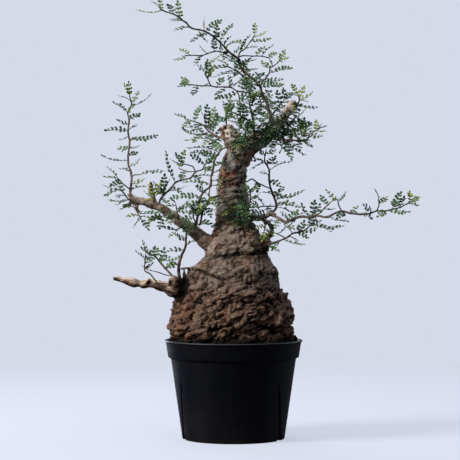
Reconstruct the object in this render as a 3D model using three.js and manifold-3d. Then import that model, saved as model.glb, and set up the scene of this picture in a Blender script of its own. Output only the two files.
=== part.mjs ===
// A bonsai of operculicarya pachypus in its nursery pot, in millimetres.
// The origin is the centre of the pot's underside, +Z is up, and the front faces -Y.
import * as THREE from 'three';
import { mergeVertices } from 'three/addons/utils/BufferGeometryUtils.js';
import Module from 'manifold-3d';

const wasm = await Module();
wasm.setup();

// The front view: its middle pixel, where that pixel lies in millimetres, its scale and its distance
const VIEW = { middle: 230, x: -3.8, z: 226.1, mmPerPixel: 1.087, distance: 1835 };

// Driving dimensions of the pot
const POT_HEIGHT = 107;
const POT_RIM_RADIUS = 75;
const POT_FOOT_RADIUS = 55.5;
const POT_SHOULDER_RADIUS = 68;
const POT_WALL = 1.8;
const POT_FLOOR = 2.2;
const POT_SIDES = 36;
const COLLAR_HEIGHT = 19;
const COLLAR_RADII = [71, 73.5];
const FLUTE_ANGLES = [28, 164, 196, 332];
const FLUTE_TOP = 78;
const FLUTE_RADIUS = 3;
const FLUTE_OUT = 3.2;
const DRAIN_SLOT = { wide: 11, deep: 9, high: 7 };

// Driving dimensions of the plant
const SOIL_LEVEL = 97;
const SOIL_CROWN_RADIUS = 64;
const SEAT_GAP = 0.35;
const STEM_SIDES = 39;
const STEM_IN_POT = 69.4;
const STEM_DEPTH = 0.97;
const BARK_LUMP = 4.2;
const BARK_GRAIN = new THREE.Vector3(19, 19, 9.5);
const LIMB_GRAIN = new THREE.Vector3(9, 9, 16);
const LUMP_LEAN = 0.35;
const CALM_BARK = { from: 156, to: 176, share: 0.62 };
const CROWN_BARK = { from: 200, to: 208, share: 0.35 };
const CREASE = { height: 199, slope: 0.08, width: 2.6, depth: 2.6 };
const THIN_ROOT_RADIUS = 1.3;
const SEAT_REACH = 3.2;

// Driving dimensions of a leaf: a thin arched blade, cut to its rib between the leaflets
const BLADE = 0.62;
const RIB_HALF_WIDTH = 0.45;
const LEAFLET_LENGTH = 3.6;
const LEAFLET_PITCH = 6.4;
const PETIOLE = 0.16;
const LEAF_ARCH = 0.09;
const LEAF_DEPTH = 1.7;
const LEAF_CYCLE = 8;
const LEAF_TURNS = [1, 3, 6];
const LEAF_TRIES = [[0, 0], [0.5, 2], [-0.5, -2], [0.9, 5], [-0.9, -5], [0.3, 8], [0.3, -8]];

const plastic = new THREE.MeshStandardMaterial({ color: 0x17181c, roughness: 0.42, metalness: 0 });
const peat = new THREE.MeshStandardMaterial({ color: 0x2a211b, roughness: 0.97, metalness: 0 });
const bark = new THREE.MeshStandardMaterial({ color: 0x6b5647, roughness: 0.92, metalness: 0 });
const foliage = new THREE.MeshStandardMaterial({ color: 0x3f5f2c, roughness: 0.6, metalness: 0 });

// The outline of the swollen stem: height, left edge and right edge as seen from the front
const STEM_OUTLINE = [
  [58, -9, 5], [62, -22, 17], [70, -37, 31], [80, -50, 44], [90, -59, 54], [97, -64, 60],
  [103, -67.5, 63], [108, -69, 63.6], [118, -71, 63.4], [128, -70.5, 64.7], [136, -68, 64.5],
  [145, -64, 61.4], [156, -60, 58], [166, -56, 52.7], [178, -50, 47.6], [185, -45, 46],
  [191, -37, 40.5], [196, -31, 38], [200, -30, 38.4], [205, -30, 36], [212, -29, 32],
  [220, -23.5, 29.5], [228, -20, 24], [236, -18.6, 19.5], [244, -17.2, 16], [252, -13, 11],
];
const STEM_LEVELS = [];
for (const z of [58, 64, 76, 88, 97]) STEM_LEVELS.push(z);
for (let z = 101; z < 163; z += 4.4) STEM_LEVELS.push(z);
for (let z = 166; z < 208; z += 4.7) STEM_LEVELS.push(z);
for (let z = 212; z <= 252; z += 10) STEM_LEVELS.push(z);

// Burls on the swollen stem: centre, height and spread
const BURLS = [
  { at: new THREE.Vector3(-41, -22, 178), high: 4.5, spread: 5.5 },
  { at: new THREE.Vector3(41, -20, 182), high: 5, spread: 6 },
  { at: new THREE.Vector3(46, -30, 168), high: 3.5, spread: 6 },
  { at: new THREE.Vector3(-4, 48, 172), high: 5, spread: 8 },
  { at: new THREE.Vector3(18, -26, 205), high: 3.5, spread: 7 },
];

// The thick wood above the swollen stem, as routes of x, y, z and radius
const TRUNK = [
  [0, 0, 228, 15], [-0.8, 0, 240, 17.8], [-1, 0, 253, 17.4], [-1.5, -1, 270, 15.9],
  [-1.1, -1.5, 280, 14.5], [0, -2, 291, 14.3], [2.4, -2, 300, 14], [8, -2, 308, 12.8],
  [16, -1, 316, 11.2], [24, 0, 321.5, 10], [33, 2, 327, 8.8], [42, 4, 334, 7.2],
  [50, 5, 343, 5.6], [57, 6, 352, 4.7], [65.5, 6, 362, 4.1],
];
const KNOB = [
  [1, -2, 298, 11], [-3, -3, 312, 9.6], [-6, -4, 324, 8], [-7.4, -5, 333, 7.8], [-8, -6, 339, 6.2],
];
const CROWN_HUMP = [[3, -2, 298, 13], [5, -2, 309, 12], [7, -2, 318, 9.5], [10, -1, 325, 7]];
const LEFT_ARM = [
  [-13, -1, 203, 9.5], [-29, -5, 213, 8.6], [-38, -7, 220.5, 7], [-47, -8, 228, 6], [-58, -9, 235, 5.3],
  [-69, -10, 243.5, 4.7], [-80, -10, 251, 4.1], [-91, -10, 255.5, 3.8], [-101, -10, 257.5, 3.3],
  [-107, -9, 259, 3], [-111, -9, 261, 2.6],
];
const ARM_STUB = [[-86, -10, 254, 2.4], [-88, -10, 263, 2.2], [-91, -10, 277, 1.9]];
const RIGHT_ARM = [
  [10, 0, 237, 4], [20, -1, 239, 3.3], [31, -3, 239.5, 2.9], [40, -4, 243.5, 2.5], [46, -6, 242.4, 2.2],
];
const SHOULDER_STUB = [
  [28, -8, 201, 5], [34, -10, 209, 4.4], [35.5, -10, 216, 3.4], [40.5, -9, 222.5, 2.3],
  [41.5, -7, 229, 2], [37, -5, 234, 2.1], [30, -3, 239, 2.4],
];
const DEAD_BRANCH = [
  [-32, -4, 157, 11], [-46, -7, 160, 12.5], [-56, -9, 161.5, 11.5], [-64, -10, 162, 9.2],
  [-71, -10, 163.5, 6.9], [-79, -10, 165, 5.4], [-88, -10, 167, 5.5], [-95, -10, 166, 4.1],
  [-103, -9, 166, 2.9], [-112, -8, 168.5, 3.3], [-118, -7, 170.5, 3], [-124, -6, 172, 2.6],
  [-130, -5, 173, 2],
];
const SPLINTERS = [
  [[-52, -10, 168, 3.4], [-53, -11, 176, 2.4], [-53.5, -12, 182.5, 0.8]],
  [[-50, -6, 168, 3.2], [-48.5, -6, 178, 2], [-48, -7, 184, 0.7]],
  [[-57, -13, 166, 3], [-58, -15, 172, 2], [-58.5, -16, 177, 0.7]],
];
// A thin root that lies across the bark, as x and z seen from the front
const THIN_ROOT = [
  [-58, 184], [-51, 185], [-45, 186], [-36, 184.5], [-29, 181.5], [-22, 178.5], [-15, 176], [-8, 174],
];

// The leafy stems, as they are seen from the front in a square picture of 460 pixels a side. Each twig
// is its radius at the root and at the tip in millimetres, then its route as pixels across, pixels down
// and millimetres back. Spread says how many times deeper the stem really reaches. Each leaf is the
// pixel of its root and of its tip, and how far back the tip lies. A last 1 marks a leaf at a far tip.
const BRANCHES = {
  leader: {
    spread: 2.6,
    twigs: [
      [1.8, 0.65, [272, 129, 3], [271, 119, 3], [268, 110, 4], [266, 101, 6], [262, 93, 8],
        [261, 88, 10], [258, 84, 11], [251, 77, 13], [244, 72, 15], [241, 67, 16], [239, 60, 16],
        [234, 56, 15], [228, 51, 14], [220, 42, 10], [212, 36.5, 6], [205, 31, 2], [192, 28, -3],
        [186, 22.5, -6], [180, 18, -8], [174, 13.5, -10], [166, 11.5, -11], [159, 9, -12]],
      [0.8, 0.6, [229, 53, 14], [222, 52, 11], [215, 51, 8], [208, 53.5, 5], [202, 55.5, 2],
        [190, 55.5, -2], [184, 56, -4]],
      [0.8, 0.6, [239, 58, 16], [240, 53, 17], [244, 50, 19], [249, 44, 21], [253, 38, 22],
        [255, 35, 22]],
      [0.75, 0.6, [239.5, 57, 16], [244, 56, 18], [252, 56.5, 21], [262, 56, 24], [270, 58, 26]],
      [0.85, 0.6, [253, 79, 13], [244, 77, 8], [238, 72, 5], [234, 69, 3], [228, 67, 0],
        [224, 66, -1]],
      [0.85, 0.6, [260, 88, 10], [262, 83, 8], [265, 79, 6], [269, 73, 4], [270, 68, 2],
        [276, 64, 1], [280, 60, 0]],
      [1, 0.6, [264.5, 98, 7], [257, 96, 3], [251, 94, 0], [245, 92, -3], [236, 90.5, -6],
        [231, 87.5, -8], [217, 87, -10], [210, 86, -11], [200, 86, -12], [188, 84, -13]],
      [0.7, 0.6, [211, 86, -11], [208, 80, -12], [206.5, 75, -13]],
      [0.8, 0.6, [237, 91, -6], [239, 98, -8], [240, 104, -10], [240, 110, -11], [241, 118, -12],
        [241, 124, -12]],
    ],
    leaves: [
      [160, 9.5, 152, 3, -5], [161, 9.8, 160, -0.5, 5, 1], [162, 10.5, 138, 10, 3],
      [180, 18, 178, 3, 4], [191, 28, 176, 31, -5], [206, 31, 220, 21, 6], [208, 34, 192, 42, -6],
      [220, 42, 232, 26, 5], [225, 47, 238, 43, -7], [229, 53, 206, 70, -6], [214, 51, 213, 41, 5],
      [190, 55.5, 181, 50, 4], [255, 35, 255, 25, 3], [254, 37, 265, 33, -5],
      [251, 41, 269, 38, 5], [256, 56, 264, 48, 4], [262, 56, 272, 47, -4], [241, 66, 254, 61, -6],
      [229, 67, 220, 61, 4], [228, 67, 211, 71, -4], [241, 75, 213, 78, -5],
      [235, 70, 232, 59, -5], [243, 77, 233, 85, 5], [269, 73, 290, 68, 4], [262, 84, 281, 80, -4],
      [261, 87, 282, 85, 5], [267, 76, 255, 75, -5], [280, 60, 284, 52, -2], [188, 84, 183, 79, 3],
      [208, 80, 207, 61, 3], [207, 77, 199, 67, -5], [231, 87.5, 228, 78, -4],
      [244, 92, 245, 81, -5], [237, 92, 218, 98, -5], [239, 98, 250, 103, -5],
      [240, 107, 229, 106, -5], [241, 118, 252, 124, -4], [241, 121, 230, 121, 5],
      [268, 110, 259, 104, -8], [262, 93, 254, 99, -7], [263, 95, 270, 92, 6],
    ],
  },
  stub_end_shoot: {
    spread: 4,
    twigs: [
      [1, 0.7, [291, 109, 6], [295, 105.5, 6], [298, 104, 6], [299, 99, 7], [298, 95, 8]],
    ],
    leaves: [
      [298, 96, 292.5, 86, 3], [299, 99, 311, 94, -3], [298, 104, 315, 107, 2],
      [298, 103, 296, 115, -4],
    ],
  },
  crown_right_twig: {
    spread: 2.6,
    twigs: [
      [1.2, 0.6, [267, 134, -1], [275, 138, -7], [283, 140, -10], [292, 140, -12], [303, 140, -14],
        [308, 138, -15], [310, 134, -16], [315, 131, -17], [318, 130, -18]],
    ],
    leaves: [
      [316, 131, 316, 122, 3], [309, 137, 320, 137, -5], [303, 140, 310, 146, 5],
      [290, 140, 311, 147, -6], [286, 140, 304, 154, 6], [300, 140, 292, 131, -6],
      [304, 139, 301, 127, 5], [279, 139, 272, 149, -6], [278, 139, 262, 145, -8],
      [276, 138.5, 266, 135, -9],
    ],
  },
  crown_front_spray: {
    spread: 1.9,
    twigs: [
      [1.3, 0.6, [255, 141, -3], [254, 132, -13], [253, 122, -18], [251, 112, -21],
        [250, 103, -22], [251, 98, -22]],
      [0.8, 0.6, [253, 123, -17.5], [246, 119, -21], [239, 115, -24], [232, 112, -26]],
      [0.8, 0.6, [252, 114, -20.5], [258, 108, -20], [262, 103, -19]],
    ],
    leaves: [
      [251, 99, 245, 89, -3], [251, 99, 258, 92, 4], [252, 117, 266, 114, -6],
      [253, 124, 268, 124, -4], [253, 126, 241, 129, -6], [251, 110, 241, 107, -5],
      [239, 115, 237, 104, -4], [232, 112, 224, 103, 3], [234, 113, 226, 118, -6],
      [258, 108, 270, 108, -4], [262, 103, 271, 96, 3],
    ],
  },
  crown_right_spray: {
    spread: 2,
    twigs: [
      [1.1, 0.6, [275, 129, 2], [283, 127, -5], [290, 122, -10], [296, 117, -12]],
      [0.8, 0.6, [287, 124.5, -7.5], [295, 129, -12], [303, 129, -14]],
    ],
    leaves: [
      [290, 122, 301, 119, -7], [294, 119, 293, 109, -6], [287, 124, 307, 123, 6],
      [284, 126, 284, 138, -6], [291, 127, 298, 138, -5], [303, 129, 310, 124, 3],
      [303, 129, 312, 132, -4], [298, 129, 306, 137, 5], [282, 127, 274, 121, -7],
    ],
  },
  crown_back_spray: {
    spread: 2.2,
    twigs: [
      [1.2, 0.6, [266, 134, 5], [268, 124, 15], [273, 114, 20], [279, 106, 22], [284, 101, 23]],
    ],
    leaves: [
      [279, 106, 277, 93, 3], [284, 101, 292, 95, 4], [275, 111, 267, 102, 6],
      [276, 110, 287, 112, 7], [270, 120, 260, 113, 6], [271, 118, 283, 121, 9],
      [269, 122, 260, 127, 8],
    ],
  },
  knob_left_twig: {
    spread: -2.5,
    twigs: [
      [1.2, 0.6, [228, 136, -6], [219, 137, -9], [213, 136, -10], [207, 134.5, -11],
        [200, 134, -12], [193, 134, -13]],
      [1, 0.6, [218, 136.8, -9], [210, 132, -12], [206, 128.5, -13], [203, 125, -14],
        [198, 122.5, -15], [192, 121, -16], [187, 119.5, -17]],
      [0.8, 0.6, [221, 137, -8.5], [216, 140, -11], [211, 140, -13]],
    ],
    leaves: [
      [193, 134, 185, 130, -2], [194, 134, 185, 120, 3], [200, 134, 194, 142, -5],
      [187, 119.5, 177, 115, -2], [194, 121.5, 200, 108, 3], [192, 121, 184, 127, -4],
      [203, 126, 190, 127, 4], [206, 128.5, 207, 107, -2], [208, 130, 214, 109, 3],
      [205, 127, 201, 113, -6], [212, 133, 221, 120, -4], [212, 140, 187, 141, -3],
    ],
  },
  knob_top_shoot: {
    spread: 3,
    twigs: [
      [1, 0.65, [227, 131, -7], [226, 124, -9], [226, 117, -10], [227, 112, -10]],
    ],
    leaves: [
      [226, 118, 223, 107, -3], [227, 112, 233, 105, 2], [226, 121, 237, 112, -5],
      [226, 122, 218, 117, 4],
    ],
  },
  arm_riser: {
    spread: 2,
    twigs: [
      [1.4, 0.6, [196, 226, -8], [198, 212, -12], [199.5, 205, -13], [200, 198, -14],
        [205, 191, -15], [210, 186, -15], [211.5, 178, -15], [213, 170, -15], [214, 163, -16],
        [216, 157, -16], [221, 150, -17], [226, 147, -18], [231, 143, -19], [236, 138, -20],
        [242, 132, -21]],
      [0.7, 0.6, [210, 186, -15], [209, 193, -17], [209, 199, -18]],
    ],
    leaves: [
      [210, 184.5, 185, 183, -3], [200, 197, 172, 198, -4], [200, 200, 182, 208, 4],
      [201, 197, 206, 208, -6], [213, 168, 222, 162, 5], [211, 181, 221, 178, 4],
      [216, 156, 206, 149, -5], [217, 155, 193, 152.5, 3], [219, 152, 189, 148, -4],
      [226, 147, 229, 157, -6], [231, 143, 239, 150, -4], [236, 138, 246, 142, -4],
      [242, 132, 250, 126, 2], [209, 199, 203, 208, -3],
    ],
  },
  arm_long_shoot: {
    spread: -2.2,
    twigs: [
      [1.3, 0.6, [160, 207, -13], [160, 201, -15], [162, 197, -16], [165, 193, -17],
        [169, 190.5, -18], [172, 187, -19], [176, 182, -20], [184, 179.5, -21], [190, 178, -21],
        [193, 175, -22], [197, 171, -22], [202, 170, -22], [205, 164.5, -22], [211, 161, -23]],
      [0.7, 0.6, [196, 172, -22], [193, 167, -21], [188, 165, -20], [181, 164, -19]],
      [0.7, 0.6, [196, 171.5, -22], [190, 171.5, -24], [184, 171, -26], [179, 168, -27]],
    ],
    leaves: [
      [176, 182, 166, 153, 0], [179, 168, 184, 153, -2], [182, 164, 177, 156, 3],
      [204, 165, 192, 157, -3], [190, 178, 211, 177, -4], [169, 190.5, 185, 187, -5],
      [162, 197, 164, 177, 2], [163, 196, 155, 184, -3], [211, 161, 219, 156, -4],
      [193, 175, 200, 184, -4], [161, 199, 168, 203, -4],
    ],
  },
  trunk_left_twig: {
    spread: 1.3,
    twigs: [
      [0.9, 0.6, [222, 195, -8], [215, 196.5, -17], [210, 199, -20], [207, 204, -21],
        [205, 209, -22]],
    ],
    leaves: [
      [210, 199, 205, 193, -4], [207, 204, 215, 206, -4], [205, 209, 197, 214, -2],
      [206, 207, 210, 216, -3],
    ],
  },
  left_upright_shoot: {
    spread: 2,
    twigs: [
      [1.5, 0.6, [134, 199, -9], [131, 196, -9], [130.5, 190, -7], [131, 184, -5],
        [131.5, 178, -3], [131, 172, 0], [129, 165, 4], [128, 157, 8], [129, 147, 11],
        [130, 140, 13], [128, 131, 14], [128.5, 124, 14], [128.5, 118, 13], [128, 113, 12],
        [131, 106, 9], [130.5, 101, 7], [130, 95, 5]],
      [0.75, 0.6, [131, 189, -7], [125, 186, -9], [121, 181, -10], [118, 178, -11]],
      [0.7, 0.6, [131.5, 178, -3], [134, 175, -5], [140, 174.5, -8]],
    ],
    leaves: [
      [130, 95, 129, 83, -2], [131, 106, 151, 95, -3], [128, 113, 114, 104, 3],
      [128, 131, 107, 131, -3], [130, 139, 156, 135.5, 4], [129, 148, 119, 148, 5],
      [129, 148, 138, 147, -5], [128, 160, 103, 156, -3, 1], [140, 174.5, 162, 172.5, -3],
      [121, 181, 106, 177, 3], [118, 178, 108, 169, -2], [131, 184, 143, 180, -4],
      [130.5, 190, 145, 187, 4], [130, 120, 138, 115, 5], [130.5, 101, 121, 97, -5],
      [129, 166, 138, 161, -5], [131, 172, 121, 169, 6],
    ],
  },
  arm_end_twigs: {
    spread: 2.2,
    twigs: [
      [0.9, 0.6, [136, 202, -9], [129, 199, -13], [124, 193, -15], [119, 189, -16]],
      [0.8, 0.6, [131, 200, -12], [134, 207, -15], [137, 212, -17], [141, 219, -18]],
    ],
    leaves: [
      [119, 189, 106, 186, -3], [120, 190, 107, 195, 3], [129, 199, 110, 200, -5],
      [137, 212, 160, 211, -4], [141, 219, 147, 228, -3], [139, 215, 128, 217, -4],
      [134, 207, 122, 209, 4],
    ],
  },
  arm_under_spur_a: {
    spread: 2,
    twigs: [
      [0.8, 0.6, [168, 212, -9], [165.5, 215, -13], [162, 216, -16]],
    ],
    leaves: [
      [163, 215, 143, 216, -3], [162, 216, 148, 223, 2], [164, 214, 170, 224, -4],
    ],
  },
  arm_under_spur_b: {
    spread: 2,
    twigs: [
      [0.8, 0.6, [184, 222, -7], [181, 227, -12], [177, 229, -14]],
    ],
    leaves: [
      [177, 229, 164, 227, -2], [179, 228, 170, 236, -4],
    ],
  },
  arm_tuft: {
    spread: 1,
    twigs: [
      [0.9, 0.65, [153, 205, -10], [154, 200, -16], [154, 195, -17]],
    ],
    leaves: [
      [154, 197, 151, 185, -2], [154, 196, 159, 185, 3], [154, 198, 145, 192, -5],
      [154, 198, 161, 194, -5],
    ],
  },
  deadwood_shoot_a: {
    spread: 1.8,
    twigs: [
      [1, 0.6, [173, 293, -13], [167, 291, -20], [162, 287, -22], [155, 280, -23], [150, 274, -23],
        [145, 270, -23], [144.5, 262, -22], [146, 254, -21]],
    ],
    leaves: [
      [146, 254, 143, 242, -2], [145, 260, 137, 253, -4], [145, 260, 153, 250, 4],
      [147, 272, 136, 270, -5],
    ],
  },
  deadwood_shoot_b: {
    spread: -2.5,
    twigs: [
      [1, 0.6, [179, 282, -9], [174, 277, -12], [170, 273, -14], [165, 268, -15], [160, 262, -16],
        [156, 257, -16], [152, 254.5, -16]],
      [0.7, 0.6, [173, 276, -12.5], [166, 275, -17], [160, 273, -18], [154, 271, -19]],
    ],
    leaves: [
      [161, 263, 164, 250, 2], [152, 254.5, 143, 249, -2], [155, 256.5, 147, 262, -4],
      [154, 271, 143, 267, -2], [165, 268, 174, 264, -5],
    ],
  },
  deadwood_shoot_c: {
    spread: 3,
    twigs: [
      [1.7, 0.7, [183, 285, -6], [179.5, 274, -6], [179.5, 264, -5], [181, 257, -4],
        [184, 250, -3], [186, 245, -2], [186, 238, -1], [187, 229, 1]],
    ],
    leaves: [
      [186, 245, 201, 241, -4], [184, 250, 170, 251, -3], [181, 257, 167, 260, 4],
      [180, 264, 168, 268, -4], [187, 233, 196, 229, 4],
    ],
  },
  right_riser: {
    spread: -3,
    twigs: [
      [1.4, 0.6, [270.5, 214, -4], [275.5, 209, -8], [276, 204, -9], [274, 196, -10],
        [271, 189, -10], [269.5, 180, -10], [269, 171, -9], [267, 166, -8], [264.5, 161, -7],
        [266, 154, -6], [267, 149, -5]],
      [0.9, 0.7, [242, 184, -6], [248, 181, -10], [253, 179.5, -11], [257, 182.5, -11],
        [263, 185, -11], [270, 189, -10]],
      [0.7, 0.6, [275, 206.5, -8.5], [268, 206, -10], [262, 206.5, -11], [257, 208, -11]],
    ],
    leaves: [
      [269, 171, 290, 162, -3], [264.5, 161, 250, 161, -4], [265, 163, 253, 169, 4],
      [270, 180, 279, 186, -4], [273, 195, 264, 193, 4], [274, 198, 303, 191, -4],
      [275, 201, 291, 197, 5], [276, 204, 298, 207, -4], [275.5, 207, 289, 212, 5],
      [264, 206, 259, 200, -5], [266, 155, 259, 151, -4], [266, 154, 275, 150, 5],
    ],
  },
  trunk_front_shoot: {
    spread: 1,
    twigs: [
      [0.9, 0.65, [243, 210, -12], [248, 205, -19], [250.5, 199, -21], [250, 193, -22]],
    ],
    leaves: [
      [250, 193, 246, 185, -2], [250.5, 198, 257, 198, -4], [250, 200, 243, 196, -4],
      [249, 203, 256, 207, -4], [247, 206, 243, 214, -5],
    ],
  },
  long_right_branch: {
    spread: 3,
    twigs: [
      [1.6, 0.6, [269, 214, -4], [276, 217, -11], [285, 221.5, -14], [292, 220, -15],
        [300, 217, -17], [308, 216.5, -19], [316, 216, -20], [328, 216.5, -22], [334, 214, -23],
        [341, 211, -24], [350, 213, -24], [356, 214, -24], [368, 213.5, -24], [376, 211, -23],
        [386, 211.5, -22], [392, 209.5, -21], [400, 207.5, -20], [407, 203.5, -18],
        [413, 200.5, -17]],
      [0.8, 0.6, [315, 216, -20], [321, 212, -21], [326, 207, -21], [331, 202, -20]],
      [0.75, 0.6, [341, 211, -24], [339, 205, -25], [338, 200, -26]],
      [0.75, 0.6, [376, 211, -23], [379, 205, -21], [378, 198, -19]],
      [0.75, 0.6, [315, 216, -20], [316, 221, -22], [317, 226, -23]],
    ],
    leaves: [
      [411, 201, 418, 199, -2], [410, 202, 410, 193, 3], [400, 207.5, 403, 199, -5],
      [392, 209.5, 400, 194, 3], [388, 211, 407, 212, -4], [378, 199, 375, 190, -3],
      [372, 212, 364, 206, -5], [360, 214, 371, 218, 4], [338, 200, 327, 191, 3],
      [338, 201, 345, 195, -4], [329, 216.5, 346, 221, -4], [331, 202, 338, 200, -2],
      [328, 205, 322, 197, 4], [317, 226, 341, 226, -3], [317, 225, 303, 227, 4],
      [312, 216.3, 314, 203, -4], [309, 216.5, 302, 206, 4], [292, 220, 304, 213, -5],
      [288, 221, 281, 213, -6], [304, 217, 312, 222, -5], [280, 219, 276, 227, -6],
      [283, 221, 293, 228, -6],
    ],
  },
  stub_right_twig: {
    spread: 1.5,
    twigs: [
      [1.3, 0.6, [263, 247, -10], [270, 244, -14], [278, 241, -17], [287, 238, -19],
        [292, 234, -20], [300, 232, -21], [305, 230, -22], [310, 225, -23]],
      [0.8, 0.6, [286, 238.3, -18.5], [281, 235.5, -18], [275, 233, -17]],
    ],
    leaves: [
      [284, 239, 303, 244, -4], [296, 233, 306, 238, 4], [292, 234, 285, 226, -5],
      [298, 232.5, 303, 223, 4], [303, 231, 316, 229, -4], [310, 225, 312, 216, -2],
      [276, 233.5, 266, 229, -3], [278, 241, 273, 249, -5], [272, 243.5, 264, 238, -6],
    ],
  },
  right_arm_tuft: {
    spread: 1,
    twigs: [
      [1, 0.6, [263, 218, -3], [264, 213, -12], [262, 210, -17]],
      [1, 0.6, [262, 219.5, -5], [265, 225, -14], [264, 231, -17]],
    ],
    leaves: [
      [262, 210, 254, 213, -3], [265, 226, 257, 228, -4], [264, 231, 262, 239, -3],
      [264.5, 222, 255, 221, -6], [264.5, 223, 274, 222, -7],
    ],
  },
};

// A closed mesh as a solid that can be joined and cut
function solid(geometry) {
  geometry.deleteAttribute('normal');
  geometry.deleteAttribute('uv');
  const merged = mergeVertices(geometry, 1e-4);
  return new wasm.Manifold(new wasm.Mesh({
    numProp: 3,
    vertProperties: new Float32Array(merged.attributes.position.array),
    triVerts: new Uint32Array(merged.index.array),
  }));
}

function named(name, body, material) {
  const data = body.getMesh();
  const geometry = new THREE.BufferGeometry();
  geometry.setAttribute('position', new THREE.BufferAttribute(data.vertProperties, 3));
  geometry.setIndex(new THREE.BufferAttribute(data.triVerts, 1));
  geometry.computeVertexNormals();
  const mesh = new THREE.Mesh(geometry, material);
  mesh.name = name;
  return mesh;
}

// The largest body of a solid that a cut may have split
function largest(body) {
  return body.decompose().reduce((best, piece) => (piece.volume() > best.volume() ? piece : best));
}

// A value between 0 and 1 that is always the same for the same numbers
function draw(a, b, c) {
  const wave = Math.sin(a * 127.1 + b * 311.7 + c * 74.7) * 43758.5453;
  return wave - Math.floor(wave);
}

// Smooth noise between -1 and 1: draws at the corners of a unit cell, blended by a smooth step
function noise(x, y, z) {
  const [i, j, k] = [Math.floor(x), Math.floor(y), Math.floor(z)];
  const [u, v, w] = [x - i, y - j, z - k].map((t) => t * t * (3 - 2 * t));
  const mix = THREE.MathUtils.lerp;
  const edge = (dj, dk) => mix(draw(i, j + dj, k + dk), draw(i + 1, j + dj, k + dk), u);
  return 2 * mix(mix(edge(0, 0), edge(1, 0), v), mix(edge(0, 1), edge(1, 1), v), w) - 1;
}

// Rounded lumps with sharp valleys between them, about -0.5 to 1
function lumps(point, grain) {
  const lean = LUMP_LEAN * point.x;
  return 2.4 * Math.abs(noise(point.x / grain.x, point.y / grain.y, (point.z - lean) / grain.z)) - 0.6;
}

// The value of a hand-drawn table at a height, on straight lines between its rows
function outlineAt(z) {
  const rows = STEM_OUTLINE;
  const next = Math.max(1, rows.findIndex((row) => row[0] >= z));
  const [low, high] = [rows[next - 1], rows[next]];
  const t = (z - low[0]) / (high[0] - low[0]);
  return [1, 2].map((side) => THREE.MathUtils.lerp(low[side], high[side], t));
}

// How far the bark stands out of the swollen stem's even shape
function barkRelief(point) {
  const rise = THREE.MathUtils.smoothstep(point.z, SOIL_LEVEL, SOIL_LEVEL + 7);
  const calm = CALM_BARK.share * THREE.MathUtils.smoothstep(point.z, CALM_BARK.from, CALM_BARK.to);
  const crown = CROWN_BARK.share * THREE.MathUtils.smoothstep(point.z, CROWN_BARK.from, CROWN_BARK.to);
  let relief = BARK_LUMP * (1 - calm + crown) * lumps(point, BARK_GRAIN);
  for (const burl of BURLS) {
    relief += burl.high * Math.exp(-point.distanceToSquared(burl.at) / (2 * burl.spread ** 2));
  }
  const crease = CREASE.height + CREASE.slope * point.x;
  const front = THREE.MathUtils.smoothstep(point.x - point.y, -10, 25);
  relief -= CREASE.depth * front * Math.exp(-(((point.z - crease) / CREASE.width) ** 2));
  return rise * relief;
}

// A point of the swollen stem's surface at an angle from the right, seen from above, and a height
function stemPoint(angle, z, grow) {
  const [left, right] = outlineAt(z);
  const middle = (left + right) / 2;
  const reach = (right - left) / 2;
  const even = new THREE.Vector3(middle + reach * Math.cos(angle), STEM_DEPTH * reach * Math.sin(angle), z);
  const out = barkRelief(even) + grow;
  even.add(new THREE.Vector3(Math.cos(angle) * out, Math.sin(angle) * out, 0));
  const fromAxis = Math.hypot(even.x, even.y);
  if (z > POT_HEIGHT + 3 || fromAxis < STEM_IN_POT + grow) return even;
  const pull = (STEM_IN_POT + grow) / fromAxis;
  return even.set(even.x * pull, even.y * pull, z);
}

// The swollen stem: rings of a cylinder, each opened to the outline and its bark
function swollenStem(grow) {
  const rings = STEM_LEVELS.length - 1;
  const geometry = new THREE.CylinderGeometry(1, 1, 1, STEM_SIDES, rings);
  const spot = geometry.attributes.position;
  for (let i = 0; i < spot.count; i += 1) {
    const [x, y, z] = [spot.getX(i), spot.getY(i), spot.getZ(i)];
    const level = Math.round((y + 0.5) * rings);
    let height = STEM_LEVELS[level];
    const place = stemPoint(Math.atan2(-z, x), height, grow);
    if (level === 0) height -= grow;
    if (Math.hypot(x, z) < 0.5) {
      const [left, right] = outlineAt(height < STEM_LEVELS[0] ? STEM_LEVELS[0] : height);
      place.set((left + right) / 2, 0, height);
    }
    spot.setXYZ(i, place.x, place.y, height);
  }
  return solid(geometry);
}

// Directions across a route at each of its points, carried along it without twist
function frames(points) {
  const list = [];
  let across = new THREE.Vector3(0, 1, 0);
  points.forEach((point, i) => {
    const before = points[Math.max(0, i - 1)];
    const after = points[Math.min(points.length - 1, i + 1)];
    const along = after.clone().sub(before).normalize();
    if (i === 0 && Math.abs(along.y) > 0.9) across = new THREE.Vector3(1, 0, 0);
    across = across.clone().addScaledVector(along, -across.dot(along)).normalize();
    list.push({ along, across, third: along.clone().cross(across) });
  });
  return list;
}

// A round rod of changing radius: a cylinder bent along a route, roughened by a relief in millimetres
function rod(points, radii, sides, relief = 0, grow = 0) {
  const steps = points.length - 1;
  const turned = frames(points);
  const geometry = new THREE.CylinderGeometry(1, 1, 1, sides, steps);
  const spot = geometry.attributes.position;
  for (let i = 0; i < spot.count; i += 1) {
    const step = Math.round((spot.getY(i) + 0.5) * steps);
    const { along, across, third } = turned[step];
    const out = new THREE.Vector3();
    out.addScaledVector(third, spot.getX(i)).addScaledVector(across, spot.getZ(i));
    const edge = points[step].clone().addScaledVector(out, radii[step]);
    const rough = relief === 0 ? 0 : relief * lumps(edge, LIMB_GRAIN);
    const place = points[step].clone().addScaledVector(out, radii[step] + rough + grow);
    if (step === 0) place.addScaledVector(along, -grow);
    if (step === steps) place.addScaledVector(along, grow);
    spot.setXYZ(i, place.x, place.y, place.z);
  }
  return solid(geometry);
}

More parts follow.
